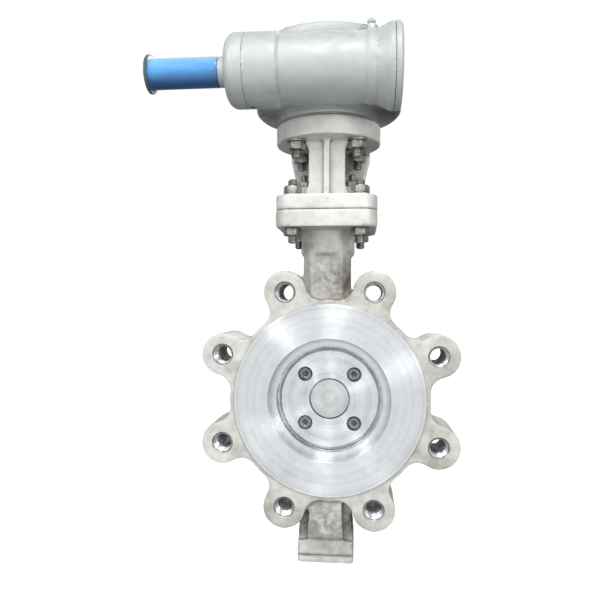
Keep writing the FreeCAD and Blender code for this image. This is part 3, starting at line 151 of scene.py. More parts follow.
class Bench:
    """A material's node tree, with short calls for what the finishes share."""

    def __init__(self, name: str) -> None:
        """Starts a material with one Principled shader.

        Args:
            name: the material's name.
        """
        self.material = bpy.data.materials.new(name)
        self.material.use_nodes = True
        self.nodes = self.material.node_tree.nodes
        self.links = self.material.node_tree.links
        self.shader = self.nodes["Principled BSDF"]
        self.place = self.nodes.new("ShaderNodeTexCoord").outputs["Object"]

    def join(self, source: Socket, target: Socket) -> None:
        """Links two sockets."""
        self.links.new(source, target)

    def put(self, socket: Socket, value: object) -> None:
        """Links a socket or sets a plain value, whichever value is.

        Args:
            socket: the input to feed.
            value: a socket, or a number or colour.
        """
        if isinstance(value, Socket):
            self.join(value, socket)
        else:
            socket.default_value = value

    def noise(self, size_mm: float, detail: float = 4.0, stretch: Sequence[float] = (1, 1, 1),
              rough: float = 0.55) -> Socket:
        """Cloudy noise in object space.

        Args:
            size_mm: the size of one cloud.
            detail: how many finer layers it has.
            stretch: how much finer it is along X, Y and Z.
            rough: strength of the finer layers.

        Returns:
            The noise's grey socket.
        """
        mapping = self.nodes.new("ShaderNodeMapping")
        self.join(self.place, mapping.inputs["Vector"])
        mapping.inputs["Scale"].default_value = list(stretch)
        node = self.nodes.new("ShaderNodeTexNoise")
        self.join(mapping.outputs["Vector"], node.inputs["Vector"])
        node.inputs["Scale"].default_value = 1 / (size_mm * MM)
        node.inputs["Detail"].default_value = detail
        node.inputs["Roughness"].default_value = rough
        return node.outputs["Fac"]

    def ramp(self, value: Socket, stops: Sequence[tuple[float, Colour]]) -> Socket:
        """Colour ramp with any number of stops.

        Args:
            value: what picks the colour, from 0 to 1.
            stops: places and colours, in order.

        Returns:
            The colour's socket.
        """
        node = self.nodes.new("ShaderNodeValToRGB")
        elements = node.color_ramp.elements
        while len(elements) < len(stops):
            elements.new(0.5)
        for element, (spot, colour) in zip(elements, stops):
            element.position = spot
            element.color = colour
        self.join(value, node.inputs["Fac"])
        return node.outputs["Color"]

    def grade(self, value: Socket, low: float, high: float,
              new_low: float, new_high: float) -> Socket:
        """Maps one span of values to another, smoothly and clamped.

        Args:
            value: the socket to map.
            low: where the old span starts.
            high: where it ends.
            new_low: what its start becomes.
            new_high: what its end becomes.

        Returns:
            The result's socket.
        """
        node = self.nodes.new("ShaderNodeMapRange")
        node.interpolation_type = "SMOOTHSTEP"
        self.join(value, node.inputs["Value"])
        for key, number in zip(SPANS, (low, high, new_low, new_high)):
            node.inputs[key].default_value = number
        return node.outputs["Result"]

    def sum(self, kind: str, first: object, second: object = 0.0) -> Socket:
        """One Math node.

        Args:
            kind: the node's operation.
            first: a socket or a number.
            second: a socket or a number.

        Returns:
            The result's socket.
        """
        node = self.nodes.new("ShaderNodeMath")
        node.operation = kind
        self.put(node.inputs[0], first)
        self.put(node.inputs[1], second)
        return node.outputs[0]

    def mix(self, amount: object, first: object, second: object, kind: str = "MIX") -> Socket:
        """Mixes two colours.

        Args:
            amount: how much of the second shows.
            first: a socket or a colour.
            second: a socket or a colour.
            kind: how they are blended.

        Returns:
            The mixed colour's socket.
        """
        node = self.nodes.new("ShaderNodeMix")
        node.data_type = "RGBA"
        node.blend_type = kind
        self.put(node.inputs[0], amount)
        self.put(node.inputs[6], first)
        self.put(node.inputs[7], second)
        return node.outputs[2]

    def near(self, spot: Vector, reach_mm: float) -> Socket:
        """One at a place, fading to nothing at a distance.

        Args:
            spot: the place, in millimetres.
            reach_mm: how far the patch reaches.

        Returns:
            The patch's strength.
        """
        node = self.nodes.new("ShaderNodeVectorMath")
        node.operation = "DISTANCE"
        self.join(self.place, node.inputs[0])
        node.inputs[1].default_value = [c * MM for c in spot]
        return self.grade(node.outputs["Value"], 0.0, reach_mm * MM, 1.0, 0.0)

    def radius(self, axis: Axis, at: Point = (0.0, 0.0)) -> Socket:
        """Distance from a line along an axis, in metres.

        Args:
            axis: the direction of the line.
            at: its place on the two other axes, in millimetres.

        Returns:
            The distance's socket.
        """
        parts = self.nodes.new("ShaderNodeSeparateXYZ")
        self.join(self.place, parts.inputs[0])
        others = [o for o, name in zip(parts.outputs, "xyz") if name != axis.value]
        squares = [self.sum("POWER", self.sum("SUBTRACT", o, c * MM), 2.0) for o, c in zip(others, at)]
        return self.sum("SQRT", self.sum("ADD", squares[0], squares[1]))

    def bump(self, height: Socket, depth_mm: float, strength: float = 1.0,
             under: Socket | None = None) -> Socket:
        """Bump normal from a height.

        Args:
            height: the height's socket, from 0 to 1.
            depth_mm: the depth that 1 stands for.
            strength: how much of it shows.
            under: a bump that this one lies on.

        Returns:
            The normal's socket.
        """
        node = self.nodes.new("ShaderNodeBump")
        node.inputs["Strength"].default_value = strength
        node.inputs["Distance"].default_value = depth_mm * MM
        self.join(height, node.inputs["Height"])
        if under is not None:
            self.join(under, node.inputs["Normal"])
        return node.outputs["Normal"]

    def done(self, colour: object, roughness: object, metallic: float,
             normal: Socket | None = None) -> Material:
        """Wires the shader and returns the material.

        Args:
            colour: base colour, a socket or a value.
            roughness: roughness, a socket or a value.
            metallic: how metallic it is.
            normal: the bump's socket.

        Returns:
            The finished material.
        """
        self.put(self.shader.inputs["Base Color"], colour)
        self.put(self.shader.inputs["Roughness"], roughness)
        self.shader.inputs["Metallic"].default_value = metallic
        if normal is not None:
            self.join(normal, self.shader.inputs["Normal"])
        return self.material


@dataclass(frozen=True)
class Patch:
    """A coloured place on a casting, standing for a stain, dirt, painted shade or painted light."""

    spot: tuple[float, float, float]
    reach: float
    strength: float
    colour: Colour = tint("6b4a34")
    evenness: float = 0.0


@dataclass(frozen=True)
class CastPaint:
    """Thin satin paint over a sand casting, with painted shade in its hollows, and patches of dirt, rust
    stains, painted shade and painted light.
    """

    name: str
    light: Colour
    mid: Colour
    dark: Colour
    metallic: float = 0.35
    roughness: float = 0.5
    pit_mm: float = 1.3
    pit_depth: float = 0.22
    contrast: float = 1.0
    patches: tuple[Patch, ...] = ()

    def material(self) -> Material:
        """Builds the paint with its mottling, pits, worn edges, painted shade in hollows, and its patches of
        dirt, rust stains, painted shade and painted light.

        Returns:
            The finished material.
        """
        bench = Bench(self.name)
        broad = bench.noise(46.0, 3.0)
        mottle = bench.noise(7.0, 5.0)
        pits = bench.noise(self.pit_mm, 6.0, rough=0.7)
        tone = bench.sum("ADD", bench.sum("MULTIPLY", broad, 0.6), bench.sum("MULTIPLY", mottle, 0.4))
        spread = 0.13 / self.contrast
        colour = bench.ramp(tone, [(0.49 - spread, self.dark), (0.5, self.mid), (0.5 + spread, self.light)])
        edges = bench.nodes.new("ShaderNodeNewGeometry").outputs["Pointiness"]
        # Painted shade: hollows, where pointiness is low, are darkened towards dark brown-grey.
        hollow = bench.grade(edges, 0.44, 0.5, 0.55, 0.0)
        colour = bench.mix(hollow, colour, tint("3c3a36"))
        worn = bench.grade(edges, 0.53, 0.6, 0.0, 0.45)
        colour = bench.mix(worn, colour, tint("dfe1df"))
        specks = bench.grade(pits, 0.62, 0.72, 0.0, 0.5)
        colour = bench.mix(specks, colour, self.dark)
        # Patches mix in their colour: stains and dirt, and painted shade and painted light where a patch
        # stands for them.
        for patch in self.patches:
            ragged = bench.grade(bench.noise(5.0, 7.0, rough=0.7), 0.38, 0.6, patch.evenness, 1.0)
            area = bench.near(Vector(patch.spot), patch.reach)
            stain_and_painted_light = bench.sum("MULTIPLY", bench.sum("MULTIPLY", ragged, area), patch.strength)
            colour = bench.mix(stain_and_painted_light, colour, patch.colour)
        rough = bench.grade(mottle, 0.3, 0.7, self.roughness - 0.09, self.roughness + 0.12)
        coarse = bench.bump(mottle, 0.5 * self.contrast, 0.5)
        normal = bench.bump(pits, self.pit_depth, 0.8, coarse)
        return bench.done(colour, rough, self.metallic, normal)


@dataclass(frozen=True)
class TurnedSteel:
    """Bright steel turned on a lathe, with fine rings and a radial sheen."""

    name: str
    axis: Axis
    at: Point = (0.0, 0.0)
    light: Colour = tint("e0e2e4")
    dark: Colour = tint("bbbfc2")
    groove_mm: float = 0.35
    band_mm: float = 6.0
    roughness: float = 0.34
    anisotropy: float = 0.95

    def material(self) -> Material:
        """Builds the rings, the handling marks and the sheen across them.

        Returns:
            The finished material.
        """
        bench = Bench(self.name)
        radius = bench.radius(self.axis, self.at)
        rings = bench.nodes.new("ShaderNodeTexNoise")
        rings.noise_dimensions = "1D"
        bench.join(radius, rings.inputs["W"])
        rings.inputs["Scale"].default_value = 1 / (self.groove_mm * MM)
        rings.inputs["Detail"].default_value = 3.0
        broad = bench.nodes.new("ShaderNodeTexNoise")
        broad.noise_dimensions = "1D"
        bench.join(radius, broad.inputs["W"])
        broad.inputs["Scale"].default_value = 1 / (self.band_mm * MM)
        marks = bench.noise(16.0, 6.0, rough=0.65)
        bands = bench.sum("MULTIPLY", broad.outputs["Fac"], 0.4)
        tone = bench.sum("ADD", bands, bench.sum("MULTIPLY", marks, 0.6))
        colour = bench.ramp(tone, [(0.28, self.dark), (0.62, self.light)])
        rough = bench.grade(marks, 0.35, 0.7, self.roughness - 0.04, self.roughness + 0.05)
        normal = bench.bump(rings.outputs["Fac"], 0.02, 0.5)
        tangent = bench.nodes.new("ShaderNodeTangent")
        tangent.direction_type = "RADIAL"
        tangent.axis = self.axis.value.upper()
        bench.join(tangent.outputs[0], bench.shader.inputs["Tangent"])
        bench.shader.inputs["Anisotropic"].default_value = self.anisotropy
        bench.shader.inputs["Anisotropic Rotation"].default_value = 0.25
        return bench.done(colour, rough, 1.0, normal)


@dataclass(frozen=True)
class PlainMetal:
    """Machined or plated metal with a directionless dull shine."""

    name: str
    light: Colour
    dark: Colour
    roughness: float
    metallic: float = 1.0
    grain_mm: float = 0.8
    stretch: tuple[float, float, float] = (1.0, 1.0, 1.0)

    def material(self) -> Material:
        """Builds the tarnish, grain and painted shade in the hollows.

        Returns:
            The finished material.
        """
        bench = Bench(self.name)
        stains = bench.noise(4.5, 5.0)
        grain = bench.noise(self.grain_mm, 3.0, self.stretch)
        colour = bench.ramp(stains, [(0.36, self.dark), (0.62, self.light)])
        edges = bench.nodes.new("ShaderNodeNewGeometry").outputs["Pointiness"]
        # Painted shade: hollows, where pointiness is low, are darkened towards near-black.
        colour = bench.mix(bench.grade(edges, 0.42, 0.5, 0.7, 0.0), colour, tint("2b2a27"))
        rough = bench.grade(grain, 0.3, 0.7, self.roughness - 0.07, self.roughness + 0.1)
        return bench.done(colour, rough, self.metallic, bench.bump(grain, 0.04, 0.5))


@dataclass(frozen=True)
class Moulded:
    """Plastic, rubber, fibre or graphite."""

    name: str
    light: Colour
    dark: Colour
    roughness: float
    coat: float = 0.0
    coat_roughness: float = 0.25
    sheer: float = 0.0
    grain_mm: float = 1.5
    stretch: tuple[float, float, float] = (1.0, 1.0, 1.0)
    painted_top_light: Colour | None = None
    painted_bottom_shade: Colour | None = None
    heights: Point = (0.0, 1.0)

    def material(self) -> Material:
        """Builds the colour drift, the painted light above, the painted shade below, the fine grain and the
        gloss.

        Returns:
            The finished material.
        """
        bench = Bench(self.name)
        drift = bench.noise(14.0, 3.0, self.stretch)
        grain = bench.noise(self.grain_mm, 4.0, self.stretch)
        colour = bench.ramp(drift, [(0.35, self.dark), (0.65, self.light)])
        # Painted light above the middle height and painted shade below it: the colour is lightened towards
        # the top and darkened towards the bottom.
        if self.painted_top_light and self.painted_bottom_shade:
            parts = bench.nodes.new("ShaderNodeSeparateXYZ")
            bench.join(bench.place, parts.inputs[0])
            low, high = (h * MM for h in self.heights)
            middle = (low + high) / 2
            colour = bench.mix(bench.grade(parts.outputs["Z"], middle, high, 0.0, 0.8), colour, self.painted_top_light)
            colour = bench.mix(bench.grade(parts.outputs["Z"], low, middle, 0.9, 0.0), colour, self.painted_bottom_shade)
        bench.shader.inputs["Coat Weight"].default_value = self.coat
        bench.shader.inputs["Coat Roughness"].default_value = self.coat_roughness
        bench.shader.inputs["Subsurface Weight"].default_value = self.sheer
        bench.shader.inputs["Subsurface Radius"].default_value = (0.001, 0.002, 0.004)
        bench.shader.inputs["Subsurface Scale"].default_value = 1.0
        rough = bench.grade(grain, 0.3, 0.7, self.roughness * 0.8, self.roughness * 1.25)
        return bench.done(colour, rough, 0.0, bench.bump(grain, 0.05, 0.4))


# ---------------------------------------------------------------- shapes


def arc(middle: Point, radius: float, first: float, last: float, steps: int) -> Outline:
    """Points on an arc, both ends included.

    Args:
        middle: the arc's centre.
        radius: its radius.
        first: the first angle, in radians.
        last: the last angle, in radians.
        steps: how many straight pieces stand for it.

    Returns:
        The points in order.
    """
    angles = [first + (last - first) * i / steps for i in range(steps + 1)]
    return [(middle[0] + radius * math.cos(a), middle[1] + radius * math.sin(a)) for a in angles]


def rounded_square(half_x: float, half_y: float, corner: float, at: Point, steps: int = 6) -> Outline:
    """Outline of a rectangle with round corners.

    Args:
        half_x: half its width.
        half_y: half its depth.
        corner: radius of its corners.
        at: its middle.
        steps: straight pieces in a corner.

    Returns:
        The points in order.
    """
    points: Outline = []
    for i, (sx, sy) in enumerate(((1, 1), (-1, 1), (-1, -1), (1, -1))):
        middle = (at[0] + sx * (half_x - corner), at[1] + sy * (half_y - corner))
        points += arc(middle, corner, i * math.pi / 2, (i + 1) * math.pi / 2, steps)
    return points


def mirrored(right: Outline, middle: float) -> Outline:
    """Closed outline from its right half, mirrored about an upright line at a place."""
    return [(middle + x, z) for x, z in right] + [(middle - x, z) for x, z in reversed(right)]


def ring_places(count: int, radius: float, at: Point, first_deg: float) -> Outline:
    """Evenly spaced places on a circle.

    Args:
        count: how many there are.
        radius: the circle's radius.
        at: its middle.
        first_deg: the bearing of the first, in degrees.

    Returns:
        The places in order.
    """
    angles = [math.radians(first_deg) + 2 * math.pi * i / count for i in range(count)]
    return [(at[0] + radius * math.cos(a), at[1] + radius * math.sin(a)) for a in angles]


def square_places(half: float, at: Point) -> Outline:
    """The four corners of a square about a place."""
    return [(at[0] + i * half, at[1] + j * half) for i in (-1, 1) for j in (-1, 1)]


def hexagonal(flats: float) -> Callable[[float], float]:
    """Radius rule of a hexagon with a given width across its flats.

    Args:
        flats: the width across flats.

    Returns:
        A function from an angle to a distance.
    """
    def rule(angle: float) -> float:
        """Distance of the outline from the middle at an angle."""
        return flats / 2 / math.cos((angle % (math.pi / 3)) - math.pi / 6)
    return rule


class Shape:
    """A mesh under construction, in millimetres."""

    def __init__(self) -> None:
        """Starts empty."""
        self.bm = bmesh.new()

    def _settle(self, verts: Sequence[bmesh.types.BMVert], axis: Axis, at: Point) -> None:
        """Moves fresh vertices from their local Z to the axis and place."""
        matrix = axis.matrix() @ Matrix.Translation((at[0], at[1], 0.0))
        bmesh.ops.transform(self.bm, matrix=matrix, verts=list(verts))

    def rod(self, radius: float, axis: Axis, start: float, end: float, at: Point = (0.0, 0.0),
            end_radius: float | None = None, segments: int = 72) -> "Shape":
        """Adds a closed cylinder or cone frustum.

        Args:
            radius: radius at the start.
            axis: the axis it lies along.
            start: where it starts on the axis.
            end: where it ends.
            at: its place on the two other axes.
            end_radius: radius at the end, if it differs.
            segments: how many sides it has.

        Returns:
            This shape, so that calls can follow each other.
        """
        made = bmesh.ops.create_cone(
            self.bm, cap_ends=True, segments=segments, radius1=radius, depth=end - start,
            radius2=radius if end_radius is None else end_radius,
            matrix=Matrix.Translation((0, 0, (start + end) / 2)))
        self._settle(made["verts"], axis, at)
        return self

    def turned(self, outline: Outline, axis: Axis, at: Point = (0.0, 0.0), steps: int = 96) -> "Shape":
        """Adds a solid turned from a closed outline of (radius, place on the axis) points.

        Args:
            outline: the points in order.
            axis: the axis it is turned about.
            at: its place on the two other axes.
            steps: straight pieces in the round.

        Returns:
            This shape.
        """
        verts = [self.bm.verts.new((r, 0.0, a)) for r, a in outline]
        edges = [self.bm.edges.new((v, verts[(i + 1) % len(verts)])) for i, v in enumerate(verts)]
        before = set(self.bm.verts) - set(verts)
        bmesh.ops.spin(self.bm, geom=verts + edges, cent=(0, 0, 0), axis=(0, 0, 1), dvec=(0, 0, 0),
                       angle=2 * math.pi, steps=steps, use_merge=True)
        fresh = [v for v in self.bm.verts if v not in before]
        bmesh.ops.remove_doubles(self.bm, verts=fresh, dist=0.001)
        self._settle([v for v in self.bm.verts if v not in before], axis, at)
        return self

    def prism(self, outline: Outline, axis: Axis, start: float, end: float) -> "Shape":
        """Adds a flat outline pushed out along an axis; its points are on the two other axes.

        Args:
            outline: the points in order.
            axis: the axis it is pushed along.
            start: where it starts.
            end: where it ends.

        Returns:
            This shape.
        """
        verts = [self.bm.verts.new((x, y, start)) for x, y in outline]
        face = self.bm.faces.new(verts)
        pushed = bmesh.ops.extrude_face_region(self.bm, geom=[face], use_keep_orig=True)["geom"]
        moved = [v for v in pushed if isinstance(v, bmesh.types.BMVert)]
        bmesh.ops.translate(self.bm, verts=moved, vec=(0, 0, end - start))
        self._settle(verts + moved, axis, (0.0, 0.0))
        return self

    def box(self, x: Point, y: Point, z: Point) -> "Shape":
        """Adds a box from three (low, high) pairs."""
        return self.prism([(x[0], y[0]), (x[1], y[0]), (x[1], y[1]), (x[0], y[1])], Axis.Z, z[0], z[1])

    def loft(self, sections: Sequence[tuple[float | Callable[[float], float], float]], axis: Axis,
             at: Point = (0.0, 0.0), segments: int = 48, closed: bool = False) -> "Shape":
        """Adds a skin over rings, each a radius or a radius rule and a place on the axis.

        Args:
            sections: the rings in order.
            axis: the axis they stand on.
            at: their place on the two other axes.
            segments: points in each ring.
            closed: whether the last ring joins the first; otherwise both ends are capped.

        Returns:
            This shape.
        """
        rings = []
        for rule, height in sections:
            made = bmesh.ops.create_circle(self.bm, radius=1.0, segments=segments, cap_ends=False)["verts"]
            for v in made:
                angle = math.atan2(v.co.y, v.co.x)
                reach = rule(angle) if callable(rule) else rule
                v.co = Vector((v.co.x * reach, v.co.y * reach, height))
            rings.append((made, list({e for v in made for e in v.link_edges})))
        pairs = list(zip(rings, rings[1:]))
        if closed:
            pairs.append((rings[-1], rings[0]))
        for (_, first), (_, second) in pairs:
            bmesh.ops.bridge_loops(self.bm, edges=first + second)
        if not closed:
            for _, edges in (rings[0], rings[-1]):
                bmesh.ops.contextual_create(self.bm, geom=edges)
        self._settle([v for made, _ in rings for v in made], axis, at)
        return self

    def ridge(self, base: float, crest: float, pitch: float, axis: Axis, start: float, end: float,
              at: Point = (0.0, 0.0), steps: int = 20) -> "Shape":
        """Adds a screw thread's helical ridge.

        Args:
            base: radius where it leaves the shank or wall.
            crest: radius of its crest.
            pitch: how far one turn climbs.
            axis: the screw's axis.
            start: where the thread starts.
            end: where it ends.
            at: the screw's place on the two other axes.
            steps: straight pieces in a turn.

        Returns:
            This shape.
        """
        turns = (end - start) / pitch - 1
        section = [(base, 0.04), (crest, 0.42), (crest, 0.58), (base, 0.96)]
        verts = [self.bm.verts.new((r, 0.0, start + h * pitch)) for r, h in section]
        edges = [self.bm.edges.new((v, verts[(i + 1) % 4])) for i, v in enumerate(verts)]
        before = set(self.bm.verts) - set(verts)
        count = max(4, round(turns * steps))
        bmesh.ops.spin(self.bm, geom=verts + edges, cent=(0, 0, 0), axis=(0, 0, 1),
                       dvec=(0, 0, (turns * pitch) / count), angle=2 * math.pi * turns, steps=count)
        fresh = [v for v in self.bm.verts if v not in before]
        open_edges = [e for e in {e for v in fresh for e in v.link_edges} if e.is_boundary]
        bmesh.ops.holes_fill(self.bm, edges=open_edges, sides=4)
        self._settle(fresh, axis, at)
        return self

    def nut(self, flats: float, hole: float, axis: Axis, start: float, end: float,
            at: Point = (0.0, 0.0)) -> "Shape":
        """Adds a hexagonal nut whose corners are chamfered at both ends.

        Args:
            flats: width across the flats.
            hole: radius of the hole.
            axis: the axis it sits on.
            start: where it starts.
            end: where it ends.
            at: its place on the two other axes.

        Returns:
            This shape.
        """
        hexagon = hexagonal(flats)
        flat_r = flats / 2 * 0.97
        chamfer = flats * 0.055
        rings = [(hole, start), (flat_r, start), (hexagon, start + chamfer), (hexagon, end - chamfer)]
        rings += [(flat_r, end), (hole + 0.5, end), (hole, end - 0.5)]
        return self.loft(rings, axis, at, closed=True)

    def socket_head(self, head_r: float, key: float, depth: float, axis: Axis, top: float, bottom: float,
                    at: Point = (0.0, 0.0), root_r: float | None = None) -> "Shape":
        """Adds a screw head with a hexagonal recess; it may point either way along the axis.

        Args:
            head_r: its radius.
            key: width of the recess across its flats.
            depth: depth of the recess.
            axis: the screw's axis.
            top: where the head's face is.
            bottom: where the head ends.
            at: the screw's place on the two other axes.
            root_r: radius at the bottom of a countersunk head.

        Returns:
            This shape.
        """
        sense = 1 if top > bottom else -1
        hexagon = hexagonal(key)
        edge = 0.5 if root_r is None else 0.2
        rim = edge * sense
        rings = [(head_r if root_r is None else root_r, bottom), (head_r, top - rim), (head_r - edge, top)]
        rings += [(key * 0.66, top), (hexagon, top - 0.4 * sense), (hexagon, top - sense * depth)]
        return self.loft(rings + [(0.05, top - sense * depth * 1.15)], axis, at)

    def stud(self, radius: float, pitch: float, start: float, end: float, at: Point) -> "Shape":
        """Adds an upright threaded stud with chamfered ends.

        Args:
            radius: radius of the thread.
            pitch: how far one turn climbs.
            start: its lower end.
            end: its upper end.
            at: its place on X and Y.

        Returns:
            This shape.
        """
        root = radius - 0.6 * pitch
        tip = 0.7
        self.turned([(0, start), (root - tip, start), (root, start + tip), (root, end - tip),
                     (root - tip, end), (0, end)], Axis.Z, at, steps=32)
        return self.ridge(root - 0.1, radius, pitch, Axis.Z, start + 0.3, end - 0.3, at)


def paint(obj: Object, look: Material) -> None:
    """Makes a material the object's only one."""
    obj.data.materials.clear()
    obj.data.materials.append(look)


def add_to_scene(name: str, data: bpy.types.ID) -> Object:
    """Makes an object of a mesh, light or camera and links it to the scene.

    Args:
        name: the object's name.
        data: the mesh, light or camera.

    Returns:
        The new object.
    """
    obj = bpy.data.objects.new(name, data)
    bpy.context.scene.collection.objects.link(obj)
    return obj


def to_object(name: str, bm: bmesh.types.BMesh, scale: float) -> Object:
    """Turns a finished bmesh into a linked object and frees it.

    Args:
        name: the object's name.
        bm: the bmesh, in millimetres.
        scale: what its lengths are multiplied by.

    Returns:
        The new object.
    """
    bmesh.ops.remove_doubles(bm, verts=bm.verts, dist=0.0005)
    bmesh.ops.recalc_face_normals(bm, faces=bm.faces)
    bmesh.ops.scale(bm, vec=(scale, scale, scale), verts=bm.verts)
    mesh = bpy.data.meshes.new(name)
    bm.to_mesh(mesh)
    bm.free()
    return add_to_scene(name, mesh)


def bake_modifiers(obj: Object) -> None:
    """Replaces an object's mesh with what its modifiers make of it.

    Args:
        obj: the object.
    """
    graph = bpy.context.evaluated_depsgraph_get()
    mesh = bpy.data.meshes.new_from_object(obj.evaluated_get(graph))
    obj.modifiers.clear()
    obj.data = mesh


def add_bevel(obj: Object, width: float, segments: int = 2) -> None:
    """Bevels an object's hard edges and applies the bevel.

    Args:
        obj: the object.
        width: the bevel's width, in the object's own units.
        segments: faces across the bevel.
    """
    bevel = obj.modifiers.new("edges", "BEVEL")
    bevel.width = width
    bevel.segments = segments
    bevel.profile = 0.5
    bevel.limit_method = "ANGLE"
    bevel.angle_limit = math.radians(38)
    bevel.material = -1
    bake_modifiers(obj)


@dataclass
class Dress:
    """A finished piece's body, slot, the frame nodes it stands for, its edge bevel and its sharp angle."""

    body: str
    slot: str
    stands_for: tuple[str, ...] = ()
    bevel: float = 0.35
    sharp_deg: float = 26.0


def finish_piece(name: str, shape: Shape, look: Material, dress: Dress) -> Object:
    """Makes an object of a shape, gives it its look and hangs it on its body.

    Args:
        name: the piece's name.
        shape: its mesh, in millimetres.
        look: its material.
        dress: its body, slot, the nodes it stands for, and its edge bevel.

    Returns:
        The new object.
    """
    obj = to_object(name, shape.bm, MM)
    if dress.bevel > 0:
        add_bevel(obj, dress.bevel * MM)
    return hang(obj, look, dress)


def hang(obj: Object, look: Material | None, dress: Dress) -> Object:
    """Shades an object, ties it to its body, and hides the nodes it stands for.

    Args:
        obj: the object, in metres.
        look: its material, or nothing where it has its own.
        dress: its body, slot, the nodes it stands for, and its sharp angle.

    Returns:
        The same object.
    """
    if look is not None:
        paint(obj, look)
    obj.data.shade_smooth()
    obj.data.set_sharp_from_angle(angle=math.radians(dress.sharp_deg))
    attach(obj, dress.body)
    if dress.stands_for:
        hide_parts(*dress.stands_for)
    log.info("%s: %d faces on %s", obj.name, len(obj.data.polygons), dress.body)
    return obj


def machine(obj: Object, tool: Shape, look: Material) -> None:
    """Cuts a set of tools out of an object; the cut faces get their own look.

    Args:
        obj: the object, in millimetres.
        tool: closed shapes that do not overlap each other.
        look: the material of the cut faces.
    """
    cutter = to_object(f"{obj.name}_tool", tool.bm, 1.0)
    paint(cutter, look)
    saw = obj.modifiers.new("machine", "BOOLEAN")
    saw.operation = "DIFFERENCE"
    saw.solver = "EXACT"
    saw.material_mode = "TRANSFER"
    saw.object = cutter
    bake_modifiers(obj)
    bpy.data.objects.remove(cutter)


def drilled_piece(name: str, shape: Shape, tool: Shape, look: Material, cut_look: Material,
                  dress: Dress) -> Object:
    """Makes an object of a shape, cuts tools out of it and hangs it on its body.

    Args:
        name: the piece's name.
        shape: its mesh, in millimetres.
        tool: what is cut out, in millimetres.
        look: its material.
        cut_look: the material of the cut faces.
        dress: its body, slot, the nodes it stands for, and its edge bevel.

    Returns:
        The new object.
    """
    obj = to_object(name, shape.bm, 1.0)
    paint(obj, look)
    if dress.bevel > 0:
        add_bevel(obj, dress.bevel)
    machine(obj, tool, cut_look)
    obj.data.transform(Matrix.Scale(MM, 4))
    return hang(obj, None, dress)


@dataclass
class Casting:
    """Closed shapes melted into one cast skin with soft corners, then cut by machining."""

    name: str
    skin: Material
    machined: Material
    voxel: float = 1.3
    softening: int = 5
    waviness: float = 0.12
    solid: Shape = field(default_factory=Shape)
    cuts: list[Shape] = field(default_factory=list)

    def cut(self) -> Shape:
        """Starts a new set of cutting tools that don't overlap each other.

        Returns:
            The empty set, to be filled.
        """
        tool = Shape()
        self.cuts.append(tool)
        return tool

    def finish(self, dress: Dress) -> Object:
        """Melts, softens, roughens and machines the casting, and hangs it on its body.

        Args:
            dress: its body, slot and the nodes it stands for.

        Returns:
            The new object.
        """
        obj = to_object(self.name, self.solid.bm, 1.0)
        melt = obj.modifiers.new("melt", "REMESH")
        melt.mode = "VOXEL"
        melt.voxel_size = self.voxel
        soften = obj.modifiers.new("soften", "SMOOTH")
        soften.factor = 0.5
        soften.iterations = self.softening
        bake_modifiers(obj)
        paint(obj, self.skin)
        self._roughen(obj.data)
        for tool in self.cuts:
            machine(obj, tool, self.machined)
        obj.data.transform(Matrix.Scale(MM, 4))
        return hang(obj, None, dress)

    def _roughen(self, mesh: bpy.types.Mesh) -> None:
        """Moves the skin in and out a little, as sand moulds do.

        Args:
            mesh: the casting's mesh, in millimetres.
        """
        normals = [v.normal.copy() for v in mesh.vertices]
        for vertex, normal in zip(mesh.vertices, normals):
            wave = noise.noise(vertex.co * 0.11) + 0.5 * noise.noise(vertex.co * 0.31)
            vertex.co += normal * (self.waviness * wave)


# ---------------------------------------------------------------- sub-assemblies


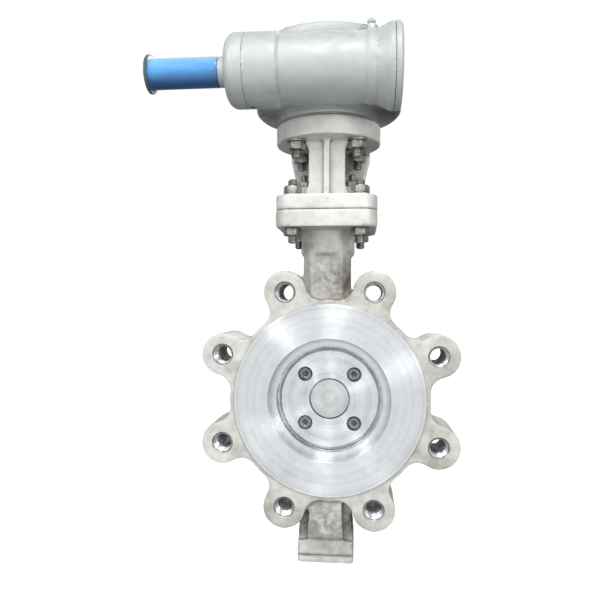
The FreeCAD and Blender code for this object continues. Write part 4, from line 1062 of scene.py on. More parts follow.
@dataclass
class Palette:
    """Every material of the valve, built once."""

    stem_at: Point
    worm_at: Point

    def __post_init__(self) -> None:
        """Builds the materials."""
        sx = self.stem_at[0]
        grime_and_shade, painted_deep_shade, painted_lug_shade, pale = tint("6f6c66"), tint("3a342e"), tint("8f8d88"), tint("e4e4df")
        # Body patches: grime and rust on the neck, grime on the trunnion front and on the rear; painted shade
        # on the neck's right side, under the collar front, on the trunnion's sides and on the right-hand
        # lugs; painted light (the pale patch) on the front of the bonnet flange and collar.
        body_patches = (
            Patch((sx, -20, 100), 36, 0.85, grime_and_shade, 0.35), Patch((sx, -20, -100), 30, 0.8, grime_and_shade),
            Patch((sx + 16, -18, 86), 18, 0.55), Patch((sx + 21, -12, 104), 24, 0.85, painted_deep_shade, 0.7),
            Patch((sx, -22, 116), 16, 0.5, grime_and_shade, 0.3),
            Patch((sx - 22, -12, -104), 22, 0.9, painted_deep_shade, 0.6), Patch((sx + 22, -12, -104), 22, 0.95, painted_deep_shade, 0.7),
            Patch((sx, -42, 147), 44, 0.45, pale, 1.0), Patch((sx, 24, 100), 34, 0.7, grime_and_shade),
            Patch((sx, 24, -100), 34, 0.7, grime_and_shade), Patch((sx + 98, -22, 24), 34, 0.75, painted_lug_shade, 0.7),
            Patch((sx + 58, -25, 92), 24, 0.5, painted_lug_shade, 0.6), Patch((sx + 40, -25, 92), 12, 0.4))
        self.body_cast = CastPaint("body_cast", tint("cfd0cb"), tint("bcbcb6"), tint("9a9a93"),
                                   patches=body_patches).material()
        # Bracket patches: rust, and painted shade on the inner face of the rear leg.
        self.bracket_cast = CastPaint(
            "bracket_cast", tint("e0e0dc"), tint("cdcdc9"), tint("acaca7"), contrast=0.7, patches=(
                Patch((sx + 22, 0, 214), 14, 0.5), Patch((sx - 30, 20, 170), 18, 0.4),
                Patch((sx, 32, 190), 44, 0.75, painted_deep_shade, 0.6))).material()
        # Gearbox patches: painted shade on the drum's lower sides, deeper on the right; rust on the right and
        # at the rear.
        gearbox_patches = (
            Patch((sx + 54, -10, 230), 44, 1.0, painted_deep_shade, 0.9), Patch((sx - 54, -10, 230), 32, 0.8, painted_deep_shade, 0.5),
            Patch((sx + 58, 10, 236), 26, 0.5), Patch((sx - 40, 50, 245), 24, 0.4))
        self.gearbox_cast = CastPaint("gearbox_cast", tint("c2c6c7"), tint("b3b7b8"), tint("9fa3a4"),
                                      0.3, 0.5, 1.6, 0.1, 0.45, gearbox_patches).material()
        self.disc_cast = CastPaint("disc_cast", tint("bfc1bf"), tint("a9aba8"), tint("85867f")).material()
        self.face = TurnedSteel("turned_face", Axis.Y).material()
        self.plate = TurnedSteel("turned_plate", Axis.Y, light=tint("e2e4e6"), dark=tint("aeb2b5")).material()
        self.spigot = TurnedSteel("turned_spigot", Axis.Y, light=tint("cfd2d3"), dark=tint("a2a6a8"),
                                  groove_mm=0.6, roughness=0.42, anisotropy=0.4).material()
        self.stem = TurnedSteel("ground_stem", Axis.Z, self.stem_at, roughness=0.22, groove_mm=0.2).material()
        self.bored = PlainMetal("bored_steel", tint("d4d7d8"), tint("9a9d9d"), 0.32).material()
        self.zinc = PlainMetal("dull_zinc", tint("abaea9"), tint("7e827d"), 0.42).material()
        self.black_screw = PlainMetal("black_screw", tint("8b9094"), tint("606568"), 0.4).material()
        self.bronze = PlainMetal("bearing_bronze", tint("c79a5e"), tint("94703f"), 0.34).material()
        self.polished = PlainMetal("bearing_steel", tint("e8eaec"), tint("c2c5c8"), 0.14).material()
        self.gear = PlainMetal("greased_gear", tint("8d8a7e"), tint("5f5b50"), 0.3).material()
        self.seal_steel = PlainMetal("seal_steel", tint("cfd2d4"), tint("a5a8aa"), 0.28).material()
        worm_z = self.worm_at[1]
        # The sleeve is lightened towards its top and darkened towards its bottom: painted light and painted
        # shade.
        self.blue = Moulded("blue_sleeve", tint("479dd8"), tint("3182c2"), 0.36, coat=0.7,
                            coat_roughness=0.13, sheer=0.1, stretch=(0.25, 1, 1), painted_top_light=tint("8cc3de"),
                            painted_bottom_shade=tint("1d447c"), heights=(worm_z - 12, worm_z + 12)).material()
        self.slate = Moulded("slate_rim", tint("52646f"), tint("34444f"), 0.35).material()
        self.gasket = Moulded("black_gasket", tint("26282a"), tint("131415"), 0.7).material()
        self.fibre = Moulded("fibre_gasket", tint("a6a7a3"), tint("8b8d8a"), 0.8).material()
        self.graphite = Moulded("graphite", tint("3a3c3e"), tint("232425"), 0.45).material()
        self.rubber = Moulded("seal_rubber", tint("2b2422"), tint("191514"), 0.5).material()
        self.white_mark = Moulded("mark_paint", tint("f0f0ea"), tint("dcdcd4"), 0.5).material()


@dataclass
class ValveBody:
    """The lug body with its turned faces, threads, neck and trunnion."""

    looks: Palette
    stem_at: Point
    bolt_circle_r: float
    bolt_count: int
    ring_r: float = 82.0
    lug_r: float = 17.5
    lug_fillet: float = 12.0
    lug_face: float = 25.0
    raised_r: float = 78.6
    front_bore_r: float = 49.5
    rear_bore_r: float = 51.5
    thread_minor_r: float = 6.75
    thread_major_r: float = 7.9
    thread_pitch: float = 2.309
    hole_chamfer: float = 1.0
    stem_bore: tuple[float, float] = (40.0, 70.0)
    neck_half: float = 19.7
    neck_depth: float = 19.7
    neck_chamfer: float = 7.0
    neck_top: float = 119.0
    collar_r: float = 22.8
    sunk: float = 14.0
    flange_bottom: float = 140.4
    flange_top: float = 154.4
    flange_half: float = 41.3
    flange_corner: float = 13.0
    trunnion_half: float = 22.8
    trunnion_pad: tuple[float, float] = (-128.5, -116.5)
    trunnion_depth: float = 21.4
    trunnion_waist: float = 19.4
    trunnion_taper: Point = (8.0, 28.0)
    pad_corner: float = 2.5
    panel_half: float = 14.6
    bottom_screw_at: float = 16.0
    bottom_head_r: float = 4.9
    sink_r: float = 5.95
    sink_root_r: float = 2.6
    sink_depth: float = 2.6

    def lobed_outline(self) -> Outline:
        """Outline of the ring with a filleted lug at each bolt.

        Returns:
            The points in order, on X and Z.
        """
        to_ring = self.ring_r + self.lug_fillet
        to_lug = self.lug_r + self.lug_fillet
        reach = self.bolt_circle_r
        spread = math.acos((to_ring ** 2 + reach ** 2 - to_lug ** 2) / (2 * to_ring * reach))
        swing = math.atan2(to_ring * math.sin(spread), to_ring * math.cos(spread) - reach)
        pitch = 2 * math.pi / self.bolt_count
        points: Outline = []
        for i in range(self.bolt_count):
            middle = (i + 0.5) * pitch
            lug = (reach * math.cos(middle), reach * math.sin(middle))
            points += self._fillet(to_ring, middle - spread, middle - swing, -1)
            points += arc(lug, self.lug_r, middle - swing, middle + swing, 14)[1:-1]
            points += self._fillet(to_ring, middle + spread, middle + swing, 1)
            points += arc((0, 0), self.ring_r, middle + spread, middle + pitch - spread, 4)[1:-1]
        return points

    def _fillet(self, distance: float, bearing: float, lug_angle: float, side: int) -> Outline:
        """Concave arc between ring and lug.

        Args:
            distance: how far its centre lies from the bore's axis.
            bearing: its centre's bearing, in radians.
            lug_angle: where it meets the lug, seen from the bolt.
            side: -1 before the lug, 1 after it.

        Returns:
            The points in order.
        """
        spot = (distance * math.cos(bearing), distance * math.sin(bearing))
        ring_end = bearing + math.pi
        lug_end = lug_angle + math.pi
        while side * (lug_end - ring_end) > math.pi:
            lug_end -= side * 2 * math.pi
        points = arc(spot, self.lug_fillet, ring_end, lug_end, 8)
        return points if side < 0 else points[::-1]

    def eight_sided(self, half_x: float) -> Outline:
        """Outline of the neck, a rectangle with chamfered corners.

        Args:
            half_x: half its width.

        Returns:
            The points in order, on X and Y.
        """
        x, y, c = half_x, self.neck_depth, self.neck_chamfer
        quarter = [(x - c, y), (x, y - c)]
        points = quarter + [(a, -b) for a, b in reversed(quarter)]
        points += [(-a, -b) for a, b in quarter] + [(-a, b) for a, b in reversed(quarter)]
        return [(self.stem_at[0] + a, self.stem_at[1] + b) for a, b in points]

    def holes(self) -> Outline:
        """Places of the tapped holes, on X and Z."""
        return ring_places(self.bolt_count, self.bolt_circle_r, (0, 0), 180 / self.bolt_count)

    def build_casting(self) -> None:
        """Builds the cast body and cuts its bore, stem bore and tapped holes."""
        half_face = mount("raised_face_rear").y
        casting = Casting("body_casting", self.looks.body_cast, self.looks.bored)
        solid = casting.solid
        solid.prism(self.lobed_outline(), Axis.Y, -self.lug_face, self.lug_face)
        solid.prism(self.eight_sided(self.neck_half), Axis.Z, self.ring_r - self.sunk, self.neck_top)
        solid.rod(self.neck_half, Axis.Z, self.neck_top - 1, self.neck_top + 1.6, self.stem_at, self.collar_r)
        solid.rod(self.collar_r, Axis.Z, self.neck_top + 1.5, self.flange_bottom + 2, self.stem_at)
        square = rounded_square(self.flange_half, self.flange_half, self.flange_corner, self.stem_at)
        solid.prism(square, Axis.Z, self.flange_bottom, self.flange_top)
        low, high = self.trunnion_pad
        self._add_trunnion(solid, high)
        pad = rounded_square(self.trunnion_half, self.trunnion_half, self.pad_corner, self.stem_at)
        solid.prism(pad, Axis.Z, low, high)
        casting.cut().rod(self.rear_bore_r, Axis.Y, -half_face - PAST, half_face + PAST, segments=128)
        stem_bores = casting.cut()
        bush_r = half_size("upper_bushing")
        inner, outer = self.stem_bore
        stem_bores.rod(bush_r, Axis.Z, inner, outer, self.stem_at)
        stem_bores.rod(bush_r, Axis.Z, -outer, -inner, self.stem_at)
        taps = casting.cut()
        wide = self.thread_major_r + self.hole_chamfer
        past, inner = self.lug_face + 1.6, self.lug_face - self.hole_chamfer
        rear = [(self.thread_major_r, inner), (wide, self.lug_face), (wide, past), (0, past)]
        front = [(r, -y) for r, y in reversed(rear)]
        for spot in self.holes():
            taps.turned(front + rear, Axis.Y, spot, steps=40)
        casting.finish(Dress(BODY, "body_casting", ("valve_body",)))

    def _add_trunnion(self, solid: Shape, pad_top: float) -> None:
        """Adds the trunnion: a body that widens down to its pad, with a raised panel front and rear.

        Args:
            solid: the casting it joins.
            pad_top: the top of its pad.
        """
        top, wide = self.sunk - self.ring_r, self.trunnion_half - 0.4
        start, end = (pad_top + height for height in self.trunnion_taper)
        body = (self.trunnion_depth - self.neck_chamfer, self.trunnion_waist, wide, pad_top - 2)
        panel = (self.trunnion_depth, self.panel_half - 1.2, self.panel_half, pad_top + 3)
        for depth, waist, foot, low in (body, panel):
            right = [(foot, low), (foot, start), (waist, end), (waist, top)]
            solid.prism(mirrored(right, self.stem_at[0]), Axis.Y, -depth, depth)

    def build_faces(self) -> None:
        """Builds the two turned raised faces, the front one with its bore."""
        edge = 0.6
        face, under = mount("raised_face_rear").y, self.lug_face - 0.5
        seat_front, inner_r = node_box("seat_ring")[0].y, self.rear_bore_r - 0.05
        front = [(self.front_bore_r, -face + edge), (self.front_bore_r + edge, -face)]
        front += [(self.raised_r - edge, -face), (self.raised_r, -face + edge), (self.raised_r, -under)]
        front += [(inner_r, -under), (inner_r, seat_front), (self.front_bore_r, seat_front)]
        rear = [(self.rear_bore_r, face - edge), (self.rear_bore_r + edge, face)]
        rear += [(self.raised_r - edge, face), (self.raised_r, face - edge)]
        rear += [(self.raised_r, under), (self.rear_bore_r, under)]
        for name, outline in (("front_raised_face", front), ("rear_raised_face", rear)):
            finish_piece(name, Shape().turned(outline, Axis.Y, steps=180), self.looks.face,
                         Dress(BODY, "body_casting", bevel=0))

    def build_threads(self) -> None:
        """Builds the threads in the lug holes."""
        shape = Shape()
        inner = self.lug_face - self.hole_chamfer
        for spot in self.holes():
            shape.ridge(self.thread_major_r + 0.1, self.thread_minor_r, self.thread_pitch,
                        Axis.Y, -inner, inner, spot, steps=24)
        finish_piece("lug_threads", shape, self.looks.bored,
                     Dress(BODY, "body_casting", bevel=0, sharp_deg=40))

    def build_bottom(self) -> None:
        """Builds the bottom cover and its screws."""
        low = node_box("bottom_cover")[0]
        face = node_box("bottom_cover_gasket")[0].z
        plate = Shape().prism(rounded_square(self.trunnion_half, self.trunnion_half, 3.0, self.stem_at),
                              Axis.Z, low.z, face)
        sinks = Shape()
        screws = Shape()
        for spot in square_places(self.bottom_screw_at, self.stem_at):
            sinks.rod(self.sink_r, Axis.Z, low.z - 1, low.z + self.sink_depth, spot, self.sink_root_r, 32)
            screws.socket_head(self.bottom_head_r, 3.0, 1.8, Axis.Z, low.z, low.z + 2.4, spot, root_r=2.5)
        drilled_piece("bottom_plate", plate, sinks, self.looks.body_cast, self.looks.bored,
                      Dress(BODY, "cover_steel", ("bottom_cover",), bevel=0.4))
        finish_piece("bottom_plate_screws", screws, self.looks.zinc,
                     Dress(BODY, "fasteners", ("bottom_cover_screws",), bevel=0))

    def build(self) -> None:
        """Builds every piece of the body."""
        self.build_casting()
        self.build_faces()
        self.build_threads()
        self.build_bottom()


@dataclass
class DiscGroup:
    """The disc, its retaining plate and screws, and the stem that turns them."""

    looks: Palette
    stem_at: Point
    plate_r: float = 42.0
    plate_bevel: float = 2.2
    spigot_r: float = 16.0
    ring_gap: float = 0.9
    screw_count: int = 4
    screw_circle_r: float = 28.6
    counterbore_r: float = 5.65
    head_r: float = 5.0
    head_h: float = 3.9
    head_key: float = 4.0
    head_recess: float = 2.0
    disc_r: float = 43.4
    hub_r: float = 15.0
    hub_top: float = 38.0
    hub_gap: float = 12.0
    disc_set_back: float = 3.5
    disc_t: float = 8.5
    rib_inner: float = 19.0
    rib_outer: float = 26.0
    rib_rear: float = 8.0
    cut_reach: float = 60.0

    def screw_places(self) -> Outline:
        """Places of the retaining screws, on X and Z."""
        return ring_places(self.screw_count, self.screw_circle_r, (0, 0), 180 / self.screw_count)

    def build_plate(self) -> None:
        """Builds the turned retaining plate with its counterbores."""
        low, high = node_box("retaining_plate")
        hole_r = self.spigot_r + self.ring_gap
        outline = [(hole_r, low.y), (self.plate_r - self.plate_bevel, low.y)]
        outline += [(self.plate_r, low.y + self.plate_bevel), (self.plate_r, high.y), (hole_r, high.y)]
        plate = Shape().turned(outline, Axis.Y, steps=144)
        tool = Shape()
        for spot in self.screw_places():
            r, edge, bottom = self.counterbore_r, 0.5, low.y + self.head_h + 0.1
            rings = [(0, low.y - 2), (r + edge, low.y - 2), (r + edge, low.y), (r, low.y + edge), (r, bottom)]
            tool.turned(rings + [(0, bottom)], Axis.Y, spot, steps=40)
        drilled_piece("retaining_disc", plate, tool, self.looks.plate, self.looks.bored,
                      Dress(TURNING, "plate_steel", ("retaining_plate",), bevel=0))

    def build_screws(self) -> None:
        """Builds the four socket screws."""
        top = node_box("retaining_plate")[0].y
        shape = Shape()
        for spot in self.screw_places():
            shape.socket_head(self.head_r, self.head_key, self.head_recess, Axis.Y, top + 0.1,
                              top + self.head_h, spot)
        finish_piece("disc_screws", shape, self.looks.black_screw,
                     Dress(TURNING, "stainless", ("retaining_screws",), bevel=0))

    def build_disc(self) -> None:
        """Builds the cast disc with its hubs and ribs, and the turned spigot."""
        sx = self.stem_at[0]
        low = node_box("disc")[0]
        front = node_box("retaining_plate")[1].y + self.disc_set_back
        casting = Casting("disc_casting", self.looks.disc_cast, self.looks.bored, voxel=1.0, softening=4)
        solid = casting.solid
        solid.rod(self.disc_r, Axis.Y, front, front + self.disc_t, segments=128)
        depth, outer_rib = (front + 1, self.rib_rear), self.rib_outer
        for side in (-1, 1):
            inner, outer = side * self.hub_gap, side * self.hub_top
            solid.rod(self.hub_r, Axis.Z, min(inner, outer), max(inner, outer), self.stem_at)
            for edge in (self.rib_inner, self.rib_inner + 1):
                low_rib, high_rib = sorted((side * edge, side * outer_rib))
                solid.box((sx - outer_rib, sx + outer_rib), depth, (low_rib, high_rib))
            low_rib, high_rib = sorted((side * self.rib_inner, side * outer_rib))
            solid.box((sx + low_rib, sx + high_rib), depth, (-outer_rib, outer_rib))
        reach = self.cut_reach
        casting.cut().box((-reach, reach), (-40, front), (-reach, reach))
        casting.cut().rod(half_size("stem") + 0.03, Axis.Z, -reach, reach, self.stem_at)
        casting.finish(Dress(TURNING, "disc_casting", ("disc",)))
        r, edge = self.spigot_r, 0.5
        outline = [(0, low.y), (r - edge, low.y), (r, low.y + edge), (r, front + 0.4), (0, front + 0.4)]
        spigot = Shape().turned(outline, Axis.Y, steps=96)
        finish_piece("disc_spigot", spigot, self.looks.spigot, Dress(TURNING, "disc_casting", bevel=0))

    def build_stem(self) -> None:
        """Builds the ground stem."""
        low, high = node_box("stem")
        r, edge = half_size("stem"), 1.0
        outline = [(0, low.z), (r - edge, low.z), (r, low.z + edge)]
        outline += [(r, high.z - edge), (r - edge, high.z), (0, high.z)]
        finish_piece("ground_stem", Shape().turned(outline, Axis.Z, self.stem_at),
                     self.looks.stem, Dress(TURNING, "stainless", ("stem",), bevel=0))

    def build(self) -> None:
        """Builds every piece of the group."""
        self.build_disc()
        self.build_plate()
        self.build_screws()
        self.build_stem()


@dataclass
class Bracket:
    """The open bracket, its studs, nuts and washers, and the gland."""

    looks: Palette
    stem_at: Point
    foot_half: float = 41.3
    foot_corner: float = 15.0
    foot_top: float = 166.4
    foot_bore_r: float = 25.5
    head_r: float = 44.2
    head_bottom: float = 212.9
    head_bore_r: float = 20.0
    leg_half: float = 15.0
    leg_flare: float = 3.4
    leg_front: float = 24.0
    leg_t: float = 9.0
    rib_half: float = 2.6
    rib_proud: float = 5.5
    rear_t: float = 5.7
    rear_foot: float = 28.7
    rear_head: float = 36.0
    foot_stud: float = 27.5
    head_stud: float = 24.75
    stud_r: float = 4.0
    stud_pitch: float = 1.25
    nut_flats: float = 13.0
    nut_h: float = 6.5
    washer_r: float = 8.0
    washer_t: float = 1.6
    gland_boss_r: float = 13.5
    gland_bore_r: float = 8.5
    gland_lobe_r: float = 7.0
    gland_stud_r: float = 3.0
    gland_nut_flats: float = 10.0

    def build_casting(self) -> None:
        """Builds the bracket casting and its two bores."""
        sx, sy = self.stem_at
        low, high = node_box("bracket")
        casting = Casting("bracket_casting", self.looks.bracket_cast, self.looks.bored, voxel=1.1)
        solid = casting.solid
        square = rounded_square(self.foot_half, self.foot_half, self.foot_corner, self.stem_at)
        solid.prism(square, Axis.Z, low.z, self.foot_top)
        solid.rod(self.head_r, Axis.Z, self.head_bottom, high.z, self.stem_at, segments=128)
        front = sy - self.leg_front
        half, flare = self.leg_half, self.leg_half + self.leg_flare
        right = [(flare, self.foot_top - 2), (flare, self.foot_top + 2), (half, self.foot_top + 10)]
        right += [(half, self.head_bottom - 8), (flare, self.head_bottom - 1), (flare, self.head_bottom + 2)]
        solid.prism(mirrored(right, sx), Axis.Y, front, front + self.leg_t)
        solid.box((sx - self.rib_half, sx + self.rib_half), (front - self.rib_proud, front + 2),
                  (self.foot_top - 2, self.head_bottom + 2))
        rear = sy + self.foot_half
        right = [(self.rear_foot, self.foot_top - 2), (self.rear_foot, self.foot_top + 12)]
        right += [(self.rear_head, self.head_bottom - 4), (self.rear_head, high.z)]
        solid.prism(mirrored(right, sx), Axis.Y, rear - self.rear_t, rear)
        solid.box((sx - self.rear_head, sx + self.rear_head), (sy, rear - 1), (self.head_bottom, high.z))
        behind_leg = math.asin((self.leg_front - self.leg_t - 0.8) / self.foot_bore_r)
        bores = casting.cut()
        bores.prism(arc(self.stem_at, self.foot_bore_r, -behind_leg, math.pi + behind_leg, 48),
                    Axis.Z, low.z - PAST, self.foot_top + PAST)
        bores.rod(self.head_bore_r, Axis.Z, self.head_bottom - PAST, high.z + PAST, self.stem_at)
        casting.finish(Dress(BODY, "bracket_paint", ("bracket",)))

    def build_fasteners(self) -> None:
        """Builds the studs, nuts and washers of both flanges."""
        foot = square_places(self.foot_stud, self.stem_at)
        head = square_places(self.head_stud, self.stem_at)
        flange_low = node_box("bracket_nuts")[0].z + self.nut_h
        for label, spots in (("bracket", foot), ("gearbox", head)):
            low, high = node_box(f"{label}_studs")
            studs = Shape()
            for spot in spots:
                studs.stud(self.stud_r, self.stud_pitch, low.z, high.z, spot)
            finish_piece(f"{label}_threaded_studs", studs, self.looks.zinc,
                         Dress(BODY, "fasteners", (f"{label}_studs",), bevel=0, sharp_deg=40))
        nuts = Shape()
        washers = Shape()
        hole = self.stud_r - 0.3
        for spot in foot:
            nuts.nut(self.nut_flats, hole, Axis.Z, flange_low - self.nut_h, flange_low, spot)
            top = self.foot_top + self.washer_t
            nuts.nut(self.nut_flats, hole, Axis.Z, top, top + self.nut_h, spot)
            washers.loft(self._washer_rings(self.foot_top), Axis.Z, spot, closed=True)
        for spot in head:
            top = self.head_bottom - self.washer_t
            nuts.nut(self.nut_flats, hole, Axis.Z, top - self.nut_h, top, spot)
            washers.loft(self._washer_rings(top), Axis.Z, spot, closed=True)
        finish_piece("flange_nuts", nuts, self.looks.zinc,
                     Dress(BODY, "fasteners", ("bracket_nuts", "gearbox_nuts"), bevel=0.15))
        finish_piece("flange_washers", washers, self.looks.zinc,
                     Dress(BODY, "fasteners", ("bracket_washers", "gearbox_washers"), bevel=0.15))

    def _washer_rings(self, low: float) -> list[tuple[float, float]]:
        """Rings of a flat washer standing on a level."""
        inner, outer, high = self.stud_r + 0.2, self.washer_r, low + self.washer_t
        return [(inner, low), (outer, low), (outer, high), (inner, high)]

    def build_gland(self) -> None:
        """Builds the gland flange, studs and nuts."""
        sx, sy = self.stem_at
        low, high = node_box("gland_flange")
        stud = centre("gland_studs")
        stud_r, lobe_r = self.gland_stud_r, self.gland_lobe_r
        spread = half_size("gland_studs") - stud_r
        plate = Casting("gland_casting", self.looks.bracket_cast, self.looks.bored, voxel=0.7, softening=3)
        plate.solid.rod(self.gland_boss_r, Axis.Z, low.z, high.z, self.stem_at)
        plate.solid.box((sx - spread, sx + spread), (sy - lobe_r, sy + lobe_r), (low.z, high.z))
        for side in (-1, 1):
            plate.solid.rod(lobe_r, Axis.Z, low.z, high.z, (sx + side * spread, sy))
        plate.cut().rod(self.gland_bore_r, Axis.Z, low.z - 3, high.z + 3, self.stem_at)
        plate.finish(Dress(BODY, "gland_casting", ("gland_flange",)))
        studs = Shape()
        nuts = Shape()
        stud_low, stud_high = node_box("gland_studs")
        nut_low, nut_high = node_box("gland_nuts")
        for side in (-1, 1):
            spot = (sx + side * spread, stud.y)
            studs.stud(stud_r, 1.0, stud_low.z, stud_high.z, spot)
            nuts.nut(self.gland_nut_flats, stud_r - 0.2, Axis.Z, nut_low.z, nut_high.z, spot)
        finish_piece("gland_threaded_studs", studs, self.looks.zinc,
                     Dress(BODY, "fasteners", ("gland_studs",), bevel=0, sharp_deg=40))
        finish_piece("gland_hex_nuts", nuts, self.looks.zinc,
                     Dress(BODY, "fasteners", ("gland_nuts",), bevel=0.12))

    def build(self) -> None:
        """Builds every piece of the bracket."""
        self.build_casting()
        self.build_fasteners()
        self.build_gland()


@dataclass
class Gearbox:
    """The worm gearbox over the stem: housing, cover, end caps, stops and pointer."""

    looks: Palette
    stem_at: Point
    worm_at: Point
    foot_r: float = 44.2
    foot_t: float = 8.5
    floor_t: float = 6.0
    drum_r: float = 61.4
    drum_wall: float = 9.4
    drum_round: float = 3.5
    lid_bore_r: float = 12.1
    dial_r: float = 27.0
    mark_step_deg: int = 15
    mark_starts: Point = (19.0, 22.0)
    mark_half: float = 0.35
    pointer_r: float = 16.0
    arm_half: float = 3.2
    arm_neck: float = 19.0
    head_r: float = 4.25
    head_key: float = 4.0
    head_seat: float = 5.2
    cover_edge: float = 1.5
    cover_screws: int = 6
    end_screws: int = 4
    input_barrel_r: float = 28.0
    main_barrel_r: float = 26.0
    left: float = -62.5
    step: float = -37.0
    flare: tuple[float, float] = (41.0, 46.5)
    right: float = 50.0
    rim_r: float = 32.0
    band_x: float = 32.5
    band_w: float = 4.5
    band_proud: float = 1.2
    chamber_r: float = 19.5
    chamber: tuple[float, float] = (-42.0, 34.0)
    bearing_r: float = 21.0
    lock_hole_r: float = 2.1
    cap_t: float = 14.2
    cap_bore_r: float = 10.3
    cap_nose_r: float = 11.5
    cap_round: float = 8.0
    end_screw_at: float = 25.8
    end_head_r: float = 4.4
    stop_x: float = 36.0
    stop_boss_r: float = 9.0
    stop_boss_start: float = 37.0
    stop_r: float = 5.0
    stop_root_r: float = 4.2
    stop_pitch: float = 1.5
    stop_socket_r: float = 2.9
    stop_nut_flats: float = 16.0
    nipple_flats: float = 9.0
    nipple_hex_h: float = 4.6

    def build_housing(self) -> None:
        """Builds the housing casting, hollow inside."""
        sx, sy = self.stem_at
        rear = node_box("gearbox_housing")[1].y
        base = node_box("gearbox_flange_gasket")[1].z
        top = node_box("cover_gasket")[0].z
        floor = base + self.foot_t + self.floor_t
        cast = Casting("housing_casting", self.looks.gearbox_cast, self.looks.bored, voxel=1.2, softening=4)
        solid = cast.solid
        solid.rod(self.foot_r, Axis.Z, base, base + self.foot_t + 2, self.stem_at, segments=128)
        low_edge, soft = base + self.foot_t, self.drum_round
        solid.rod(self.drum_r - soft, Axis.Z, low_edge, low_edge + soft, self.stem_at, self.drum_r, 128)
        solid.rod(self.drum_r, Axis.Z, low_edge + soft - 0.1, top, self.stem_at, segments=128)
        solid.rod(self.input_barrel_r, Axis.X, self.left, self.step, self.worm_at)
        solid.rod(self.main_barrel_r, Axis.X, self.step - 2, self.right, self.worm_at)
        solid.rod(self.main_barrel_r, Axis.X, self.flare[0] - 6, self.flare[1], self.worm_at, self.rim_r)
        solid.rod(self.rim_r, Axis.X, self.flare[1], self.right, self.worm_at)
        half_band = self.band_w / 2
        solid.rod(self.main_barrel_r + self.band_proud, Axis.X, self.band_x - half_band,
                  self.band_x + half_band, self.worm_at)
        for side in (-1, 1):
            spot = (sx + side * self.stop_x, self.worm_at[1])
            solid.rod(self.stop_boss_r, Axis.Y, sy + self.stop_boss_start, rear, spot)
        cast.cut().rod(self.drum_r - self.drum_wall, Axis.Z, floor, top + PAST, self.stem_at)
        cast.cut().rod(self.rim_r + 0.4, Axis.X, self.right, self.right + 20, self.worm_at)
        left, right = self.left - PAST, self.right + PAST
        start, end = self.chamber
        tunnel = [(0, left), (self.bearing_r, left), (self.bearing_r, start), (self.chamber_r, start)]
        tunnel += [(self.chamber_r, end), (self.bearing_r, end), (self.bearing_r, right), (0, right)]
        cast.cut().turned(tunnel, Axis.X, self.worm_at, steps=64)
        lock = centre("input_cap_lock_screw")
        cast.cut().rod(self.lock_hole_r, Axis.Z, base - PAST, lock.z, (lock.x, lock.y), segments=24)
        sleeve_r = half_size("drive_sleeve") + 0.05
        cast.cut().rod(sleeve_r, Axis.Z, base - PAST, floor + PAST, self.stem_at)
        cast.finish(Dress(BODY, "gearbox_paint", ("gearbox_housing",)))

    def build_cover(self) -> None:
        """Builds the round cover, its screws, the plate under the pointer and the pointer."""
        low, high = node_box("gearbox_cover")
        edge = self.cover_edge
        outline = [(self.lid_bore_r, low.z), (self.drum_r, low.z), (self.drum_r, high.z - edge)]
        outline += [(self.drum_r - edge, high.z), (self.lid_bore_r, high.z)]
        lid = Shape().turned(outline, Axis.Z, self.stem_at, steps=144)
        seats = Shape()
        screws = Shape()
        for spot in ring_places(self.cover_screws, self.drum_r - self.drum_wall / 2, self.stem_at, 0):
            seats.rod(self.head_r + 0.25, Axis.Z, high.z - self.head_seat, high.z + 2, spot, segments=40)
            screws.socket_head(self.head_r, self.head_key, 2.6, Axis.Z, high.z - 0.2,
                               high.z - self.head_seat + 0.1, spot)
        drilled_piece("gearbox_lid", lid, seats, self.looks.gearbox_cast, self.looks.bored,
                      Dress(BODY, "gearbox_paint", ("gearbox_cover",), bevel=0.8))
        finish_piece("lid_screws", screws, self.looks.black_screw,
                     Dress(BODY, "fasteners", ("cover_screws",), bevel=0))
        self._build_pointer()

    def _build_pointer(self) -> None:
        """Builds the dial plate with its marks and the domed pointer."""
        sx, sy = self.stem_at
        low, high = node_box("indicator_plate")
        bore, rim = self.lid_bore_r + 0.4, self.dial_r
        outline = [(bore, low.z), (rim, low.z), (rim, high.z - 0.2), (rim - 0.4, high.z), (bore, high.z)]
        finish_piece("dial_plate", Shape().turned(outline, Axis.Z, self.stem_at), self.looks.plate,
                     Dress(BODY, "indicator", ("indicator_plate",), bevel=0))
        marks = Shape()
        long_start, short_start = self.mark_starts
        half = self.mark_half
        for degrees in range(-90, 1, self.mark_step_deg):
            angle = math.radians(degrees)
            inner, outer = long_start if degrees % 45 == 0 else short_start, rim - 1.5
            corners = [(inner, -half), (outer, -half), (outer, half), (inner, half)]
            cos, sin = math.cos(angle), math.sin(angle)
            outline = [(sx + r * cos - w * sin, sy + r * sin + w * cos) for r, w in corners]
            marks.prism(outline, Axis.Z, high.z - 0.1, high.z + 0.12)
        finish_piece("dial_marks", marks, self.looks.gasket, Dress(BODY, "indicator", bevel=0))
        low, high = node_box("pointer")
        dome, r = Shape(), self.pointer_r
        dome.turned([(0, low.z), (r, low.z), (r, low.z + 5), (r - 1, low.z + 6.8), (r - 3, low.z + 8.2),
                     (r - 6.5, high.z), (0, high.z)], Axis.Z, self.stem_at)
        wide, narrow, neck = self.arm_half, self.arm_half - 1.0, sy - self.arm_neck
        dome.prism([(sx - wide, sy), (sx + wide, sy), (sx + narrow, neck), (sx, low.y), (sx - narrow, neck)],
                   Axis.Z, low.z, low.z + 4)
        melt = Casting("pointer_dome", self.looks.gearbox_cast, self.looks.bored, 0.45, 3, 0.03, dome)
        melt.cut().rod(self.head_r + 0.35, Axis.Z, high.z - 3.4, high.z + 2, self.stem_at, segments=40)
        melt.finish(Dress(TURNING, "pointer_paint", ("pointer",)))
